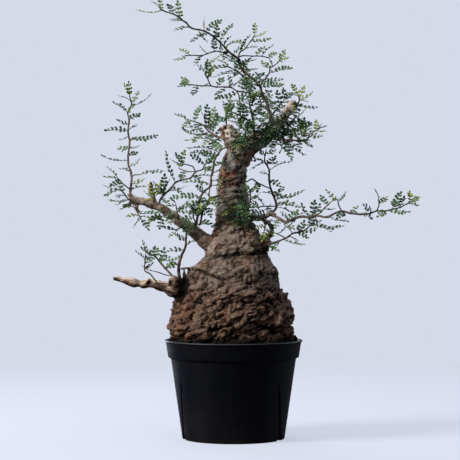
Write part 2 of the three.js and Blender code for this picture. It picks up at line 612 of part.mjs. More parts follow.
// A thick limb: its rows of x, y, z and radius are smoothed before the rod is bent
function limb(rows, steps, sides, relief, grow) {
  const path = new THREE.CatmullRomCurve3(rows.map((row) => new THREE.Vector3(row[0], row[1], row[2])));
  const girth = new THREE.CatmullRomCurve3(rows.map((row) => new THREE.Vector3(row[3], 0, 0)));
  const points = [];
  const radii = [];
  for (let i = 0; i <= steps; i += 1) {
    points.push(path.getPoint(i / steps));
    radii.push(girth.getPoint(i / steps).x);
  }
  return rod(points, radii, sides, relief, grow);
}

// All the wood that grew as one piece. A grown copy of it trims the twigs to a small gap.
function wood(grow) {
  let body = swollenStem(grow);
  const limbs = [
    limb(TRUNK, 22, 14, 1.3, grow),
    limb(KNOB, 5, 10, 1, grow),
    limb(CROWN_HUMP, 4, 9, 1, grow),
    limb(LEFT_ARM, 12, 8, 0.5, grow),
    limb(ARM_STUB, 3, 6, 0, grow),
    limb(RIGHT_ARM, 6, 7, 0.3, grow),
    limb(SHOULDER_STUB, 9, 7, 0.4, grow),
    limb(DEAD_BRANCH, 14, 8, 1, grow),
  ];
  for (const splinter of SPLINTERS) limbs.push(limb(splinter, 3, 5, 0, grow));
  const rootRoute = THIN_ROOT.map(([x, z]) => {
    const [left, right] = outlineAt(z);
    const side = THREE.MathUtils.clamp((x - (left + right) / 2) / ((right - left) / 2), -0.98, 0.98);
    return stemPoint(-Math.acos(side), z, 0.2);
  });
  rootRoute[0].x = THIN_ROOT[0][0];
  limbs.push(rod(rootRoute, rootRoute.map((point, i) => THIN_ROOT_RADIUS - 0.07 * i), 5, 0, grow));
  for (const piece of limbs) body = body.add(piece);
  return largest(body);
}

// The pot: wall, collar, flange and floor turned from one profile, then its flutes and drain slots
function pot() {
  const wallTop = POT_HEIGHT - COLLAR_HEIGHT;
  const mouth = COLLAR_RADII[1] - POT_WALL;
  const profile = [
    [0, 0], [POT_FOOT_RADIUS - 1, 0], [POT_FOOT_RADIUS, 1], [POT_SHOULDER_RADIUS, wallTop - 0.5],
    [COLLAR_RADII[0], wallTop + 0.5], [COLLAR_RADII[1], POT_HEIGHT - 2.6],
    [POT_RIM_RADIUS - 0.3, POT_HEIGHT - 2.2], [POT_RIM_RADIUS, POT_HEIGHT - 1.2],
    [POT_RIM_RADIUS - 0.5, POT_HEIGHT], [mouth + 0.5, POT_HEIGHT], [mouth, POT_HEIGHT - 1],
    [COLLAR_RADII[0] - POT_WALL, wallTop + 1.6], [POT_SHOULDER_RADIUS - POT_WALL, wallTop - 1],
    [POT_FOOT_RADIUS - POT_WALL, POT_FLOOR], [0, POT_FLOOR],
  ];
  const shell = new THREE.LatheGeometry(profile.map(([r, z]) => new THREE.Vector2(r, z)), POT_SIDES);
  let body = solid(shell.rotateX(Math.PI / 2));
  const rise = Math.atan2(POT_SHOULDER_RADIUS - POT_FOOT_RADIUS, wallTop);
  for (const degrees of FLUTE_ANGLES) {
    const flute = new THREE.CylinderGeometry(0.1, FLUTE_RADIUS, FLUTE_TOP, 8);
    const middle = POT_FOOT_RADIUS + FLUTE_RADIUS + FLUTE_OUT;
    flute.rotateX(Math.PI / 2).rotateY(rise).translate(middle, 0, FLUTE_TOP / 2 - 1);
    body = body.subtract(solid(flute.rotateZ(THREE.MathUtils.degToRad(degrees))));
    const slot = new THREE.BoxGeometry(DRAIN_SLOT.deep, DRAIN_SLOT.wide, 2 * DRAIN_SLOT.high);
    slot.translate(POT_FOOT_RADIUS, 0, 0).rotateZ(THREE.MathUtils.degToRad(degrees));
    body = body.subtract(solid(slot));
  }
  return body;
}

// The potting mix: it fills the pot to a gently mounded top, with a hollow for the buried stem
function soil(hollow) {
  const floor = POT_FLOOR + SEAT_GAP;
  const inside = (radius) => radius - POT_WALL - SEAT_GAP;
  const wallTop = POT_HEIGHT - COLLAR_HEIGHT;
  const profile = [
    [0, floor], [inside(POT_FOOT_RADIUS), floor], [inside(POT_SHOULDER_RADIUS) - 0.3, wallTop - 1.4],
    [inside(COLLAR_RADII[0]) - 0.5, wallTop + 2], [inside(COLLAR_RADII[0]) + 0.2, SOIL_LEVEL - 1],
    [SOIL_CROWN_RADIUS, SOIL_LEVEL], [0, SOIL_LEVEL],
  ];
  const fill = new THREE.LatheGeometry(profile.map(([r, z]) => new THREE.Vector2(r, z)), POT_SIDES);
  return largest(solid(fill.rotateX(Math.PI / 2)).subtract(hollow));
}

// One leaf: root and tip, a direction that the blade faces, and an extra thickness for clearance tests
function leaf(root, tip, facing, spare) {
  const along = tip.clone().sub(root);
  const length = along.length();
  along.normalize();
  const face = facing.clone().addScaledVector(along, -facing.dot(along)).normalize();
  const side = along.clone().cross(face);
  const pairs = THREE.MathUtils.clamp(Math.round(length / LEAFLET_PITCH), 2, 4);
  const corners = [];
  const put = (s, out, drop) => {
    const arch = LEAF_ARCH * length * 4 * s * (1 - s);
    const middle = root.clone().addScaledVector(along, s * length).addScaledVector(face, arch - drop);
    for (const half of [0.5, -0.5]) {
      const lift = half * (BLADE + 2 * spare);
      corners.push(middle.clone().addScaledVector(side, out).addScaledVector(face, lift));
    }
    return corners.length / 2 - 1;
  };
  const width = RIB_HALF_WIDTH + spare;
  const reach = LEAFLET_LENGTH + spare;
  const notches = [0];
  for (let i = 0; i <= pairs; i += 1) notches.push(PETIOLE + ((0.93 - PETIOLE) * i) / pairs);
  const leftRib = notches.map((s) => put(s, -width, 0));
  const rightRib = notches.map((s) => put(s, width, 0));
  const faces = [];
  for (let i = 0; i < notches.length - 1; i += 1) {
    faces.push([leftRib[i], rightRib[i], rightRib[i + 1]], [leftRib[i], rightRib[i + 1], leftRib[i + 1]]);
  }
  const outline = [leftRib[0], rightRib[0]];
  const leftSide = [];
  for (let i = 1; i < notches.length - 1; i += 1) {
    const middle = (notches[i] + notches[i + 1]) / 2 + 0.35 * (notches[i + 1] - notches[i]);
    const rightTip = put(middle, reach, 0.5);
    const leftTip = put(middle, -reach, 0.5);
    faces.push([rightRib[i], rightTip, rightRib[i + 1]], [leftRib[i], leftRib[i + 1], leftTip]);
    outline.push(rightRib[i], rightTip);
    leftSide.unshift(leftTip, leftRib[i]);
  }
  const end = put(1.02, 0, 0);
  const last = notches.length - 1;
  faces.push([leftRib[last], rightRib[last], end]);
  outline.push(rightRib[last], end, leftRib[last], ...leftSide);
  const triangles = [];
  for (const [a, b, c] of faces) triangles.push(2 * a, 2 * b, 2 * c, 2 * a + 1, 2 * c + 1, 2 * b + 1);
  outline.forEach((a, i) => {
    const b = outline[(i + 1) % outline.length];
    triangles.push(2 * a, 2 * a + 1, 2 * b + 1, 2 * a, 2 * b + 1, 2 * b);
  });
  const geometry = new THREE.BufferGeometry().setFromPoints(corners);
  geometry.setIndex(triangles);
  return solid(geometry);
}

// The nearest point to a place on a set of routes, with the depth left free where flat is set
function nearest(place, routes, flat) {
  let best = { gap: Infinity, point: null };
  for (const route of routes) {
    for (let i = 0; i < route.length - 1; i += 1) {
      const step = route[i + 1].clone().sub(route[i]);
      const seen = step.clone();
      const to = place.clone().sub(route[i]);
      if (flat) {
        seen.y = 0;
        to.y = 0;
      }
      const t = THREE.MathUtils.clamp(to.dot(seen) / seen.lengthSq(), 0, 1);
      const gap = to.distanceTo(seen.multiplyScalar(t));
      if (gap < best.gap) best = { gap, point: route[i].clone().addScaledVector(step, t) };
    }
  }
  return best;
}

// The place of a pixel of the front view that lies a depth behind the plane of the trunk
function fromView(across, down, depth) {
  const scale = VIEW.mmPerPixel * (1 + depth / VIEW.distance);
  const x = VIEW.x + (across - VIEW.middle) * scale;
  return new THREE.Vector3(x, depth, VIEW.z + (VIEW.middle - down) * scale).round();
}

// The routes of a stem's twigs in the front view, with their depth spread out from its root
function seenRoutes({ spread, twigs }) {
  const start = twigs[0][2][2];
  const deeper = (depth) => start + spread * (depth - start);
  return twigs.map((twig) => twig.slice(2).map((row) => new THREE.Vector3(row[0], deeper(row[2]), row[1])));
}

// The leaves that a stem carries here: three of every eight, and each one at a far tip
function chosenLeaves(leaves) {
  let count = 0;
  return leaves.filter((leaf) => {
    if (leaf[5]) return true;
    count += 1;
    return LEAF_TURNS.includes(count % LEAF_CYCLE);
  });
}

// The twigs of one leafy stem, side twigs seated on the twigs before them, trimmed to the bark
function twigsOf(branch, trim) {
  const routes = [];
  let body = null;
  const seen = seenRoutes(branch);
  for (const [index, [thick, thin]] of branch.twigs.entries()) {
    const route = seen[index].map((spot) => fromView(spot.x, spot.z, spot.y));
    for (const end of [0, route.length - 1]) {
      const seat = nearest(route[end], routes, false);
      if (seat.gap < SEAT_REACH) route[end] = seat.point;
    }
    const radii = route.map((point, i) => THREE.MathUtils.lerp(thick, thin, i / (route.length - 1)));
    const piece = rod(route, radii, thick > 0.95 ? 4 : 3);
    routes.push(route);
    body = body ? body.add(piece) : piece;
  }
  return { routes, body: largest(body.subtract(trim)) };
}

function boxesMeet(a, b) {
  return [0, 1, 2].every((i) => a.min[i] <= b.max[i] && b.min[i] <= a.max[i]);
}

function isClear(piece, others) {
  const box = piece.boundingBox();
  return others.every((other) => !boxesMeet(box, other.boundingBox()) || piece.intersect(other).isEmpty());
}

// Adds the leaves of one stem. Each leaf is tried in a few attitudes and takes the first that is clear
// of everything else on the plant.
function addLeaves(stem, branch, others) {
  const seen = seenRoutes(branch);
  for (const [rootAcross, rootDown, tipAcross, tipDown, back] of chosenLeaves(branch.leaves)) {
    const depth = nearest(new THREE.Vector3(rootAcross, 0, rootDown), seen, true).point.y;
    const reach = Math.round(LEAF_DEPTH * back);
    const start = fromView(rootAcross, rootDown, depth);
    const end = fromView(tipAcross, tipDown, depth + reach / 2);
    const root = nearest(start.clone().setY(0), stem.routes, true).point;
    const tilt = THREE.MathUtils.degToRad(15 + 60 * draw(start.x + end.x, start.z, end.z));
    for (const [turn, shift] of LEAF_TRIES) {
      const facing = new THREE.Vector3(0.12, -Math.sin(tilt + turn), Math.cos(tilt + turn));
      const tip = end.clone().setY(root.y + reach + shift);
      if (isClear(leaf(root, tip, facing, SEAT_GAP), others)) {
        stem.body = stem.body.add(leaf(root, tip, facing, 0));
        break;
      }
    }
  }
}

const plant = new THREE.Group();
const woodBody = wood(0);
const trim = wood(SEAT_GAP);
const potBody = pot();
const soilBody = soil(swollenStem(SEAT_GAP));
plant.add(named('pot', potBody, plastic));
plant.add(named('soil', soilBody, peat));
plant.add(named('wood', woodBody, bark));

const stems = Object.entries(BRANCHES).map(([name, branch]) => ({ name, branch, ...twigsOf(branch, trim) }));
for (const stem of stems) {
  const others = stems.filter((other) => other !== stem).map((other) => other.body);
  addLeaves(stem, stem.branch, [trim, ...others]);
  stem.body = largest(stem.body);
  plant.add(named(stem.name, stem.body, foliage));
}

export default plant;
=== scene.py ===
# %% [markdown]
# # An operculicarya pachypus bonsai in its nursery pot
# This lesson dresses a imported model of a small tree: a swollen, wrinkled stem that stands in a black
# plastic pot, a bent trunk with two sawn ends, and twigs of tiny paired leaflets. Each cell makes one
# thing, and the note before it says what that thing really is and why it is made that way.

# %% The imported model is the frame
import bpy
import numpy as np
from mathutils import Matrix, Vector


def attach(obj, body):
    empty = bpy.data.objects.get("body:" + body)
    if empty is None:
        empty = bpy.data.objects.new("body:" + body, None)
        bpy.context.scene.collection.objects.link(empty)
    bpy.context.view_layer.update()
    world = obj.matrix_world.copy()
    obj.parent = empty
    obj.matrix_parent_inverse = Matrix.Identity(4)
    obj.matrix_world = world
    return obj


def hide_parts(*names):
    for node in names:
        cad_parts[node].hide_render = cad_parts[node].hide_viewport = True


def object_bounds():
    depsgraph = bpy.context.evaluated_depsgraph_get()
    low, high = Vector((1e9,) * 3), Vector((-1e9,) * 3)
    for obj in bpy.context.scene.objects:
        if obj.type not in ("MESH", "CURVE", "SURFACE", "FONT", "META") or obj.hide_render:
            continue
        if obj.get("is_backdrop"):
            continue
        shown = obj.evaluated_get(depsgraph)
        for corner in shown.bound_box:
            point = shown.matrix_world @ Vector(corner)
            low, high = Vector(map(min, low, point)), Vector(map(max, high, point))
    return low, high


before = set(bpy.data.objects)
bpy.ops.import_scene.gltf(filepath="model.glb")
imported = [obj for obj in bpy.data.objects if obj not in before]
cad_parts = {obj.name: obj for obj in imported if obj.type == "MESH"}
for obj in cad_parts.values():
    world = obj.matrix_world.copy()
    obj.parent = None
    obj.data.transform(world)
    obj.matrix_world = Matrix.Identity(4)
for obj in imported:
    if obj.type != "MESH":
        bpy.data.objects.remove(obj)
cad_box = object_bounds()
print("nodes in the frame:", len(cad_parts))

# %% [markdown]
# Three small helpers serve every material. Colours are written as sRGB hex codes, because that is how a
# colour is read off a real thing, and one function turns them to the linear values that shaders use.
# One function adds any node, with its settings and its links, and one begins a material. Patterns follow
# the place on the object in metres, so the scale of a pattern is 1000 over its size in millimetres.

# %% Colours and nodes
MM = 0.001


def linear(code):
    """The linear colour of an sRGB hex code: c / 12.92 up to 0.04045, then ((c + 0.055) / 1.055) ** 2.4."""
    srgb = np.array([int(code[i:i + 2], 16) for i in (1, 3, 5)]) / 255
    value = np.where(srgb <= 0.04045, srgb / 12.92, ((srgb + 0.055) / 1.055) ** 2.4)
    return (*value.tolist(), 1.0)


def add_node(tree, kind, sockets=None, stops=None, **settings):
    """Adds a node. Sockets maps inputs to values, or to the nodes or outputs that feed them, and stops
    fills a ramp. A node feeds on its first output, and a mixing node on its colour."""
    new = tree.nodes.new("ShaderNode" + kind)
    for key, value in settings.items():
        setattr(new, key, value)
    for key, value in (sockets or {}).items():
        if isinstance(value, bpy.types.Node):
            value = value.outputs[2 if value.bl_idname == "ShaderNodeMix" else 0]
        if isinstance(value, bpy.types.NodeSocket):
            tree.links.new(value, new.inputs[key])
        else:
            new.inputs[key].default_value = value
    for index, (place, code) in enumerate(stops or []):
        ramp = new.color_ramp.elements
        stop = ramp[index] if index < 2 else ramp.new(place)
        stop.position = place
        stop.color = linear(code)
    return new


def new_material(name):
    """An empty node material, its tree, and the place on the object, in metres, that its patterns follow."""
    material = bpy.data.materials.new(name)
    material.use_nodes = True
    tree = material.node_tree
    tree.nodes.clear()
    print("material:", name)
    return material, tree, add_node(tree, "TexCoord").outputs["Object"]


# %% [markdown]
# Every shape here is a grid of points that numpy works out as one array. A mesh is those points and an
# array of faces, so a few functions are enough: one turns a profile, one closes a grid round its columns
# and at both ends, one joins several shapes, and the others hand arrays to Blender and read them back.

# %% Grids and meshes
def turned(radius, height, angle):
    """What radii at heights sweep round the upright axis: (r cos a, r sin a, z)."""
    radius, height, angle = np.broadcast_arrays(radius, height, angle)
    return np.stack([radius * np.cos(angle), radius * np.sin(angle), height], axis=-1)


def closed_grid(points, start, end):
    """Rows of rings as one closed shape: each quad joins a point to the next one round and the next row up,
    and a fan of triangles closes each end on a centre point."""
    rows, columns, _ = points.shape
    index = np.arange(rows * columns).reshape(rows, columns)
    right = np.roll(index, -1, axis=1)
    quads = np.stack([index[:-1], right[:-1], right[1:], index[1:]], axis=-1).reshape(-1, 4)
    first = np.full(columns, rows * columns)
    low = np.stack([first, right[0], index[0]], axis=-1)
    high = np.stack([index[-1], right[-1], first + 1], axis=-1)
    everything = np.concatenate([points.reshape(-1, 3), [start], [end]])
    return everything, quads, np.concatenate([low, high])


def join(shapes):
    """Several shapes of points, quads and triangles as one, each one's faces moved past the points before."""
    shift = np.cumsum([0] + [len(shape[0]) for shape in shapes[:-1]])
    points = np.concatenate([shape[0] for shape in shapes])
    quads = np.concatenate([shape[1] + move for shape, move in zip(shapes, shift)])
    triangles = np.concatenate([shape[2] + move for shape, move in zip(shapes, shift)])
    return points, quads, triangles


def make_object(name, points, quads, triangles, materials, smooth=True):
    """A mesh object at the origin from points in millimetres, four-cornered faces and three-cornered ones."""
    mesh = bpy.data.meshes.new(name)
    corners = np.concatenate([quads.ravel(), triangles.ravel()]).astype(np.int32)
    sizes = np.concatenate([np.full(len(quads), 4), np.full(len(triangles), 3)])
    mesh.vertices.add(len(points))
    mesh.vertices.foreach_set("co", (points * MM).astype(np.float32).ravel())
    mesh.loops.add(len(corners))
    mesh.loops.foreach_set("vertex_index", corners)
    mesh.polygons.add(len(sizes))
    mesh.polygons.foreach_set("loop_start", (np.cumsum(sizes) - sizes).astype(np.int32))
    mesh.polygons.foreach_set("use_smooth", np.full(len(sizes), smooth))
    mesh.update(calc_edges=True)
    for material in materials:
        mesh.materials.append(material)
    made = bpy.data.objects.new(name, mesh)
    bpy.context.scene.collection.objects.link(made)
    print(name, "has", len(points), "points and", len(sizes), "faces")
    return made


def applied(made):
    """The object with its modifiers worked into its mesh."""
    graph = bpy.context.evaluated_depsgraph_get()
    mesh = bpy.data.meshes.new_from_object(made.evaluated_get(graph))
    made.modifiers.clear()
    made.data = mesh
    return made


def read_mesh(made):
    """The points of a mesh, in millimetres, and the mesh's normals there."""
    rows = np.empty((2, 3 * len(made.data.vertices)), np.float32)
    made.data.vertices.foreach_get("co", rows[0])
    made.data.vertex_normals.foreach_get("vector", rows[1])
    points, normals = rows.reshape(2, -1, 3).astype(float)
    return points / MM, normals


def add_values(made, **values):
    """Numbers for each point of the mesh, which a material can read by their name."""
    for name, numbers in values.items():
        made.data.attributes.new(name, "FLOAT", "POINT").data.foreach_set("value", numbers.astype(np.float32))


def settle(made, node):
    """The piece rides on the one body and stands in for its node, which is hidden."""
    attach(made, "root")
    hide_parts(node)


# %% [markdown]
# The plant is seen straight from the front, at about half its height. The same few numbers place the
# camera and turn a pixel of that front view into a place in millimetres, which the leafy stems use.

# %% The front view and its camera
VIEW = {"side": 460, "middle": 230, "x": -3.8, "z": 226.1, "mm_per_pixel": 1.087, "distance": 1835}
SENSOR = 36
# Metres, far enough for the whole floor.
FARTHEST_SEEN = 30


def from_view(across, down, depth):
    """The place, to the nearest millimetre, of a pixel of the front view that lies a depth behind the
    trunk: pixels from the middle, times the scale, which grows with the distance from the camera."""
    across, down, depth = np.broadcast_arrays(across, down, depth)
    scale = VIEW["mm_per_pixel"] * (1 + depth / VIEW["distance"])
    x = VIEW["x"] + (across - VIEW["middle"]) * scale
    z = VIEW["z"] + (VIEW["middle"] - down) * scale
    return np.round(np.stack([x, depth, z], axis=-1))


camera_data = bpy.data.cameras.new("front camera")
camera_data.sensor_width = SENSOR
camera_data.lens = SENSOR * VIEW["distance"] / (VIEW["side"] * VIEW["mm_per_pixel"])
camera_data.clip_end = FARTHEST_SEEN
camera = bpy.data.objects.new("front camera", camera_data)
camera.location = (VIEW["x"] * MM, -VIEW["distance"] * MM, VIEW["z"] * MM)
camera.rotation_euler = (np.pi / 2, 0, 0)
bpy.context.scene.collection.objects.link(camera)
bpy.context.scene.camera = camera
print("lens", round(camera_data.lens, 1), "mm")

# %% [markdown]
# The stage is a plain pale floor under a plain pale sky, lit as a room is by one window. Seen directly,
# floor and sky are pale, as a paper backdrop is. What they send to the plant is weaker, and comes mostly
# from behind, so that black plastic still looks black. The window is a large lamp, high on the left. A
# low lamp behind the pot on the left draws the bright edge that a pale room gives to black plastic.

# %% Floor and sky
PALE = "#d5dae9"
# Metres, as all measures of the stage.
FLOOR_RADIUS = 14
NEAR_FLOOR = {"clear": 0.32, "gone": 1.1, "glow": 0.73, "paint": "#8f939d", "felt": "#54565c"}
floor_material, tree, place = new_material("matt pale paper")
away = add_node(tree, "VectorMath", {0: place}, operation="LENGTH").outputs["Value"]
far_share = add_node(tree, "MapRange", {
    "Value": away, 1: NEAR_FLOOR["clear"], 2: NEAR_FLOOR["gone"], 3: 0.0, 4: 1.0,
}, interpolation_type="SMOOTHSTEP")
paper = add_node(tree, "BsdfDiffuse", {"Color": linear(NEAR_FLOOR["paint"])})
near_glow = add_node(tree, "Emission", {"Color": linear(PALE), "Strength": NEAR_FLOOR["glow"]})
near_floor = add_node(tree, "AddShader", {0: paper, 1: near_glow})
felt_paper = add_node(tree, "BsdfDiffuse", {"Color": linear(NEAR_FLOOR["felt"])})
far_glow = add_node(tree, "Emission", {"Color": linear(PALE), "Strength": 1.0})
seen_floor = add_node(tree, "MixShader", {0: far_share, 1: near_floor, 2: far_glow})
# The share is 1 for a ray from the camera itself, and 0 for light on its way elsewhere.
seen_directly = add_node(tree, "LightPath").outputs["Is Camera Ray"]
floor_shader = add_node(tree, "MixShader", {0: seen_directly, 1: felt_paper, 2: seen_floor})
add_node(tree, "OutputMaterial", {"Surface": floor_shader})

# The rings of the floor are closer together near the plant.
around = np.linspace(0, 2 * np.pi, 96, endpoint=False)
disc = turned(np.geomspace(FLOOR_RADIUS, 0.05, 14)[:, None] / MM, 0.0, around)
points, quads, triangles = closed_grid(disc, np.zeros(3), np.zeros(3))
floor = make_object("pale_floor", points, quads, triangles[len(around):], [floor_material])
floor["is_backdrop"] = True

# %% [markdown]
# The lamps are round areas, as a window or a pale wall is to a small thing near it. What the room adds is
# one soft light from all round, weak from the front and stronger from behind.

# %% Lamps and the light of the room
LAMPS = {
    "window": {"at": (-1.9, -0.95, 1.3), "size": 1.0, "power": 60, "tint": "#fffaf3"},
    "top back": {"at": (-0.3, 1.3, 1.9), "size": 1.2, "power": 9, "tint": "#eef3ff"},
    "top front": {"at": (0.25, -0.75, 2.3), "size": 1.0, "power": 8.5, "tint": "#f4f6ff"},
    "far fill": {"at": (2.3, 0.9, 1.0), "size": 1.6, "power": 10, "tint": "#eef3ff"},
    "edge light": {"at": (-0.95, 1.5, 0.3), "size": 0.6, "power": 10, "tint": "#eef3ff"},
}
ROOM_LIGHT = {"front": 0.085, "back": 0.5, "from": -0.3, "to": 0.9, "tint": "#dfe7f7"}
AIM = np.array([0.0, 0.0, 0.22])
for name, lamp in LAMPS.items():
    data = bpy.data.lights.new(name, "AREA")
    data.shape = "DISK"
    data.size = lamp["size"]
    data.energy = lamp["power"]
    data.color = linear(lamp["tint"])[:3]
    light = bpy.data.objects.new(name, data)
    light.location = lamp["at"]
    toward = AIM - np.array(lamp["at"])
    turn_up = np.arccos(-toward[2] / np.linalg.norm(toward))
    light.rotation_euler = (turn_up, 0, np.arctan2(toward[1], toward[0]) - np.pi / 2)
    bpy.context.scene.collection.objects.link(light)

room = bpy.data.worlds.new("room light")
room.use_nodes = True
tree = room.node_tree
tree.nodes.clear()
direction = add_node(tree, "TexCoord").outputs["Generated"]
backward = add_node(tree, "SeparateXYZ", {0: direction}).outputs["Y"]
strength = add_node(tree, "MapRange", {
    "Value": backward,
    1: ROOM_LIGHT["from"], 2: ROOM_LIGHT["to"], 3: ROOM_LIGHT["front"], 4: ROOM_LIGHT["back"],
})
felt = add_node(tree, "Background", {"Color": linear(ROOM_LIGHT["tint"]), "Strength": strength})
seen = add_node(tree, "Background", {"Color": linear(PALE), "Strength": 1.0})
seen_directly = add_node(tree, "LightPath").outputs["Is Camera Ray"]
sky = add_node(tree, "MixShader", {0: seen_directly, 1: felt, 2: seen})
add_node(tree, "OutputWorld", {"Surface": sky})
bpy.context.scene.world = room
bpy.context.scene.view_settings.view_transform = "Standard"
print("lamps:", len(LAMPS))

# %% [markdown]
# Bark, soil and plastic are never even, so one smooth noise feeds them all. It draws a number at each
# corner of a grid of unit cells, always the same for the same corner, and blends them by a smooth step.
# Its absolute value has round hills with sharp valleys between them, which is how this bark wrinkles.

# %% Smooth noise
def draw(a, b, c):
    """A number from 0 to 1 for three whole numbers: the part of 43758.5453 sin(127.1a + 311.7b + 74.7c)
    behind the decimal point."""
    wave = np.sin(a * 127.1 + b * 311.7 + c * 74.7) * 43758.5453
    return wave - np.floor(wave)


def noise(places):
    """Smooth noise from -1 to 1: eight draws at a cell's corners, blended by 3t^2 - 2t^3 along each axis."""
    cell = np.floor(places)
    blend = places - cell
    blend = blend * blend * (3 - 2 * blend)
    total = 0
    for corner in np.ndindex(2, 2, 2):
        weight = np.prod(np.where(corner, blend, 1 - blend), axis=-1)
        total = total + weight * draw(*np.moveaxis(cell + corner, -1, 0))
    return 2 * total - 1


def layered(places, size, layers):
    """Noise of one size in millimetres, plus half as much at half the size, and so on."""
    return sum(noise(places / (size / 2 ** k) + 17.3 * k) / 2 ** k for k in range(layers))


def smooth_step(value, low, high):
    """0 below low, 1 above high and 3t^2 - 2t^3 between. It falls instead where low is the greater."""
    t = np.clip((value - low) / (high - low), 0, 1)
    return t * t * (3 - 2 * t)


sample = noise(np.linspace(0, 90, 900).reshape(-1, 3))
print("noise from", round(sample.min(), 2), "to", round(sample.max(), 2))

# %% [markdown]
# The pot is injection-moulded polypropylene: one thin wall that tapers to its foot, a collar that steps
# out near the top so that pots can be stacked, and a flat flange round the mouth. A turned profile gives
# all of it. The four slim flutes are pressed into that surface by a formula, with more points close to
# them, and only the drain slots at their feet are cut.

# %% The profile of the pot
POT = {"height": 107, "rim": 75, "foot": 55.5, "shoulder": 68, "wall": 1.8, "floor": 2.2}
COLLAR = {"height": 19, "low": 71, "high": 73.5}
FLUTES = {
    "angles": np.radians([28, 164, 196, 332]), "lean": np.radians([0.23, -0.23, 0.23, -0.23]),
    "top": 78, "half at foot": 3.4, "half at top": 1.6, "deep": 1.4,
}
# Painted shade in a flute begins at the first of these heights and is complete at the second.
FLUTE_PAINTED_SHADE_BELOW = (70, 50)
SHARP_EDGE = np.radians(40)
DRAIN_SLOT = {"wide": 11, "deep": 9, "high": 7}
CORNER_ROUND = 0.9
PROFILE_STEP = 5
PLAIN_COLUMNS = 220
FLUTE_COLUMNS = 70
shoulder_z = POT["height"] - COLLAR["height"]


def rounded(corners, reach, steps):
    """A line with each corner turned into a curve: (1-t)^2 A + 2t(1-t) P + t^2 C, where A and C lie a reach
    before and after the corner P, or under half a side where the sides are short."""
    corners = np.array(corners, float)
    before, here, after = corners[:-2], corners[1:-1], corners[2:]
    t = np.linspace(0, 1, steps)[None, :, None]
    starts, ends = [
        here + (end - here) * np.minimum(reach / np.linalg.norm(end - here, axis=1), 0.45)[:, None]
        for end in (before, after)
    ]
    bends = (1 - t) ** 2 * starts[:, None] + 2 * t * (1 - t) * here[:, None] + t ** 2 * ends[:, None]
    return np.concatenate([corners[:1], bends.reshape(-1, 2), corners[-1:]])


def filled(line, step):
    """The same line with points added so that none is further than a step from the next."""
    parts = [line[:1]]
    for start, end in zip(line[:-1], line[1:]):
        count = max(1, int(np.ceil(np.linalg.norm(end - start) / step)))
        parts.append(start + (end - start) * np.linspace(0, 1, count + 1)[1:, None])
    return np.concatenate(parts)


mouth = COLLAR["high"] - POT["wall"]
# Out along the base, up the outside, over the flange, down the inside and back along the floor. The steps
# of under 3 mm shape the base's edge, the step under the collar and the flange.
profile = filled(rounded([
    (6, 0), (POT["foot"] - 0.4, 0), (POT["foot"] + 0.1, 0.7), (POT["shoulder"], shoulder_z - 0.8),
    (COLLAR["low"], shoulder_z + 0.3), (COLLAR["high"], POT["height"] - 2.7),
    (POT["rim"] - 0.2, POT["height"] - 1.9), (POT["rim"], POT["height"] - 0.9),
    (POT["rim"] - 0.7, POT["height"]), (mouth + 0.7, POT["height"]), (mouth, POT["height"] - 1.2),
    (COLLAR["low"] - POT["wall"], shoulder_z + 1.7), (POT["shoulder"] - POT["wall"], shoulder_z - 0.6),
    (POT["foot"] - POT["wall"], POT["floor"]), (6, POT["floor"]),
], CORNER_ROUND, 5), PROFILE_STEP)
# More columns of points stand close to each flute, mostly on the side to which it leans.
swept = np.linspace(-0.1, 0.32, FLUTE_COLUMNS) * np.sign(FLUTES["lean"])[:, None]
near_flutes = FLUTES["angles"][:, None] + swept
angles = np.unique(np.round(np.concatenate([
    np.linspace(0, 2 * np.pi, PLAIN_COLUMNS, endpoint=False), near_flutes.ravel() % (2 * np.pi),
]), 4))


def flute_share(radius, height, angle):
    """How far into a flute a point lies, 0 to 1: 1 - (arc / half width)^2. A flute narrows upwards and
    leans by a small angle for each millimetre of height."""
    half = FLUTES["half at foot"] + (FLUTES["half at top"] - FLUTES["half at foot"]) * height / FLUTES["top"]
    middle = FLUTES["angles"] + FLUTES["lean"] * height[..., None]
    turn = (angle[..., None] - middle + np.pi) % (2 * np.pi) - np.pi
    arc = radius * np.abs(turn).min(axis=-1)
    return np.where(height < FLUTES["top"], np.clip(1 - (arc / half) ** 2, 0, 1), 0)


print("the pot's profile has", len(profile), "points and", len(angles), "columns")

# %% [markdown]
# Polypropylene straight from a mould is satin: its gloss is broken by a very fine grain. Use leaves pale dust
# near the foot, faint streaks down the wall and a scuffed flange, and the flutes reflect less, as painted
# shade.

# %% The black plastic of the pot
DUSTY_UP_TO = 45
SCUFFED_FROM = 105.6
SCUFFED_TO = 106.8
plastic, tree, place = new_material("black moulded polypropylene")
height = add_node(tree, "SeparateXYZ", {0: place}).outputs["Z"]
# Streaks are 6 mm wide and 70 mm long, clouds of dust and wear 30 mm, and the satin grain, drawn coarser
# than it is so that it shows, 0.7 mm.
streak_space = add_node(tree, "Mapping", {"Vector": place, "Scale": (160, 160, 14)})
streaks = add_node(tree, "TexNoise", {"Vector": streak_space, "Scale": 1.0, "Detail": 4.0})
clouds = add_node(tree, "TexNoise", {"Vector": place, "Scale": 34.0, "Detail": 6.0, "Roughness": 0.62})
foot_dust = add_node(tree, "MapRange", {"Value": height, 1: DUSTY_UP_TO * MM, 2: 0.0, 3: 0.0, 4: 1.0})
dust_share = add_node(tree, "Math", {0: foot_dust, 1: clouds}, operation="MULTIPLY")
dust_share = add_node(tree, "Math", {0: dust_share, 1: 0.1}, operation="MULTIPLY")
tint = add_node(tree, "ValToRGB", {"Fac": streaks}, stops=[(0.32, "#04050a"), (0.72, "#0a0b12")])
dusty = add_node(tree, "Mix", {0: dust_share, 6: tint, 7: linear("#6d6860")}, data_type="RGBA")
edge = add_node(tree, "MapRange", {
    "Value": height, 1: SCUFFED_FROM * MM, 2: SCUFFED_TO * MM, 3: 0.0, 4: 1.0,
})
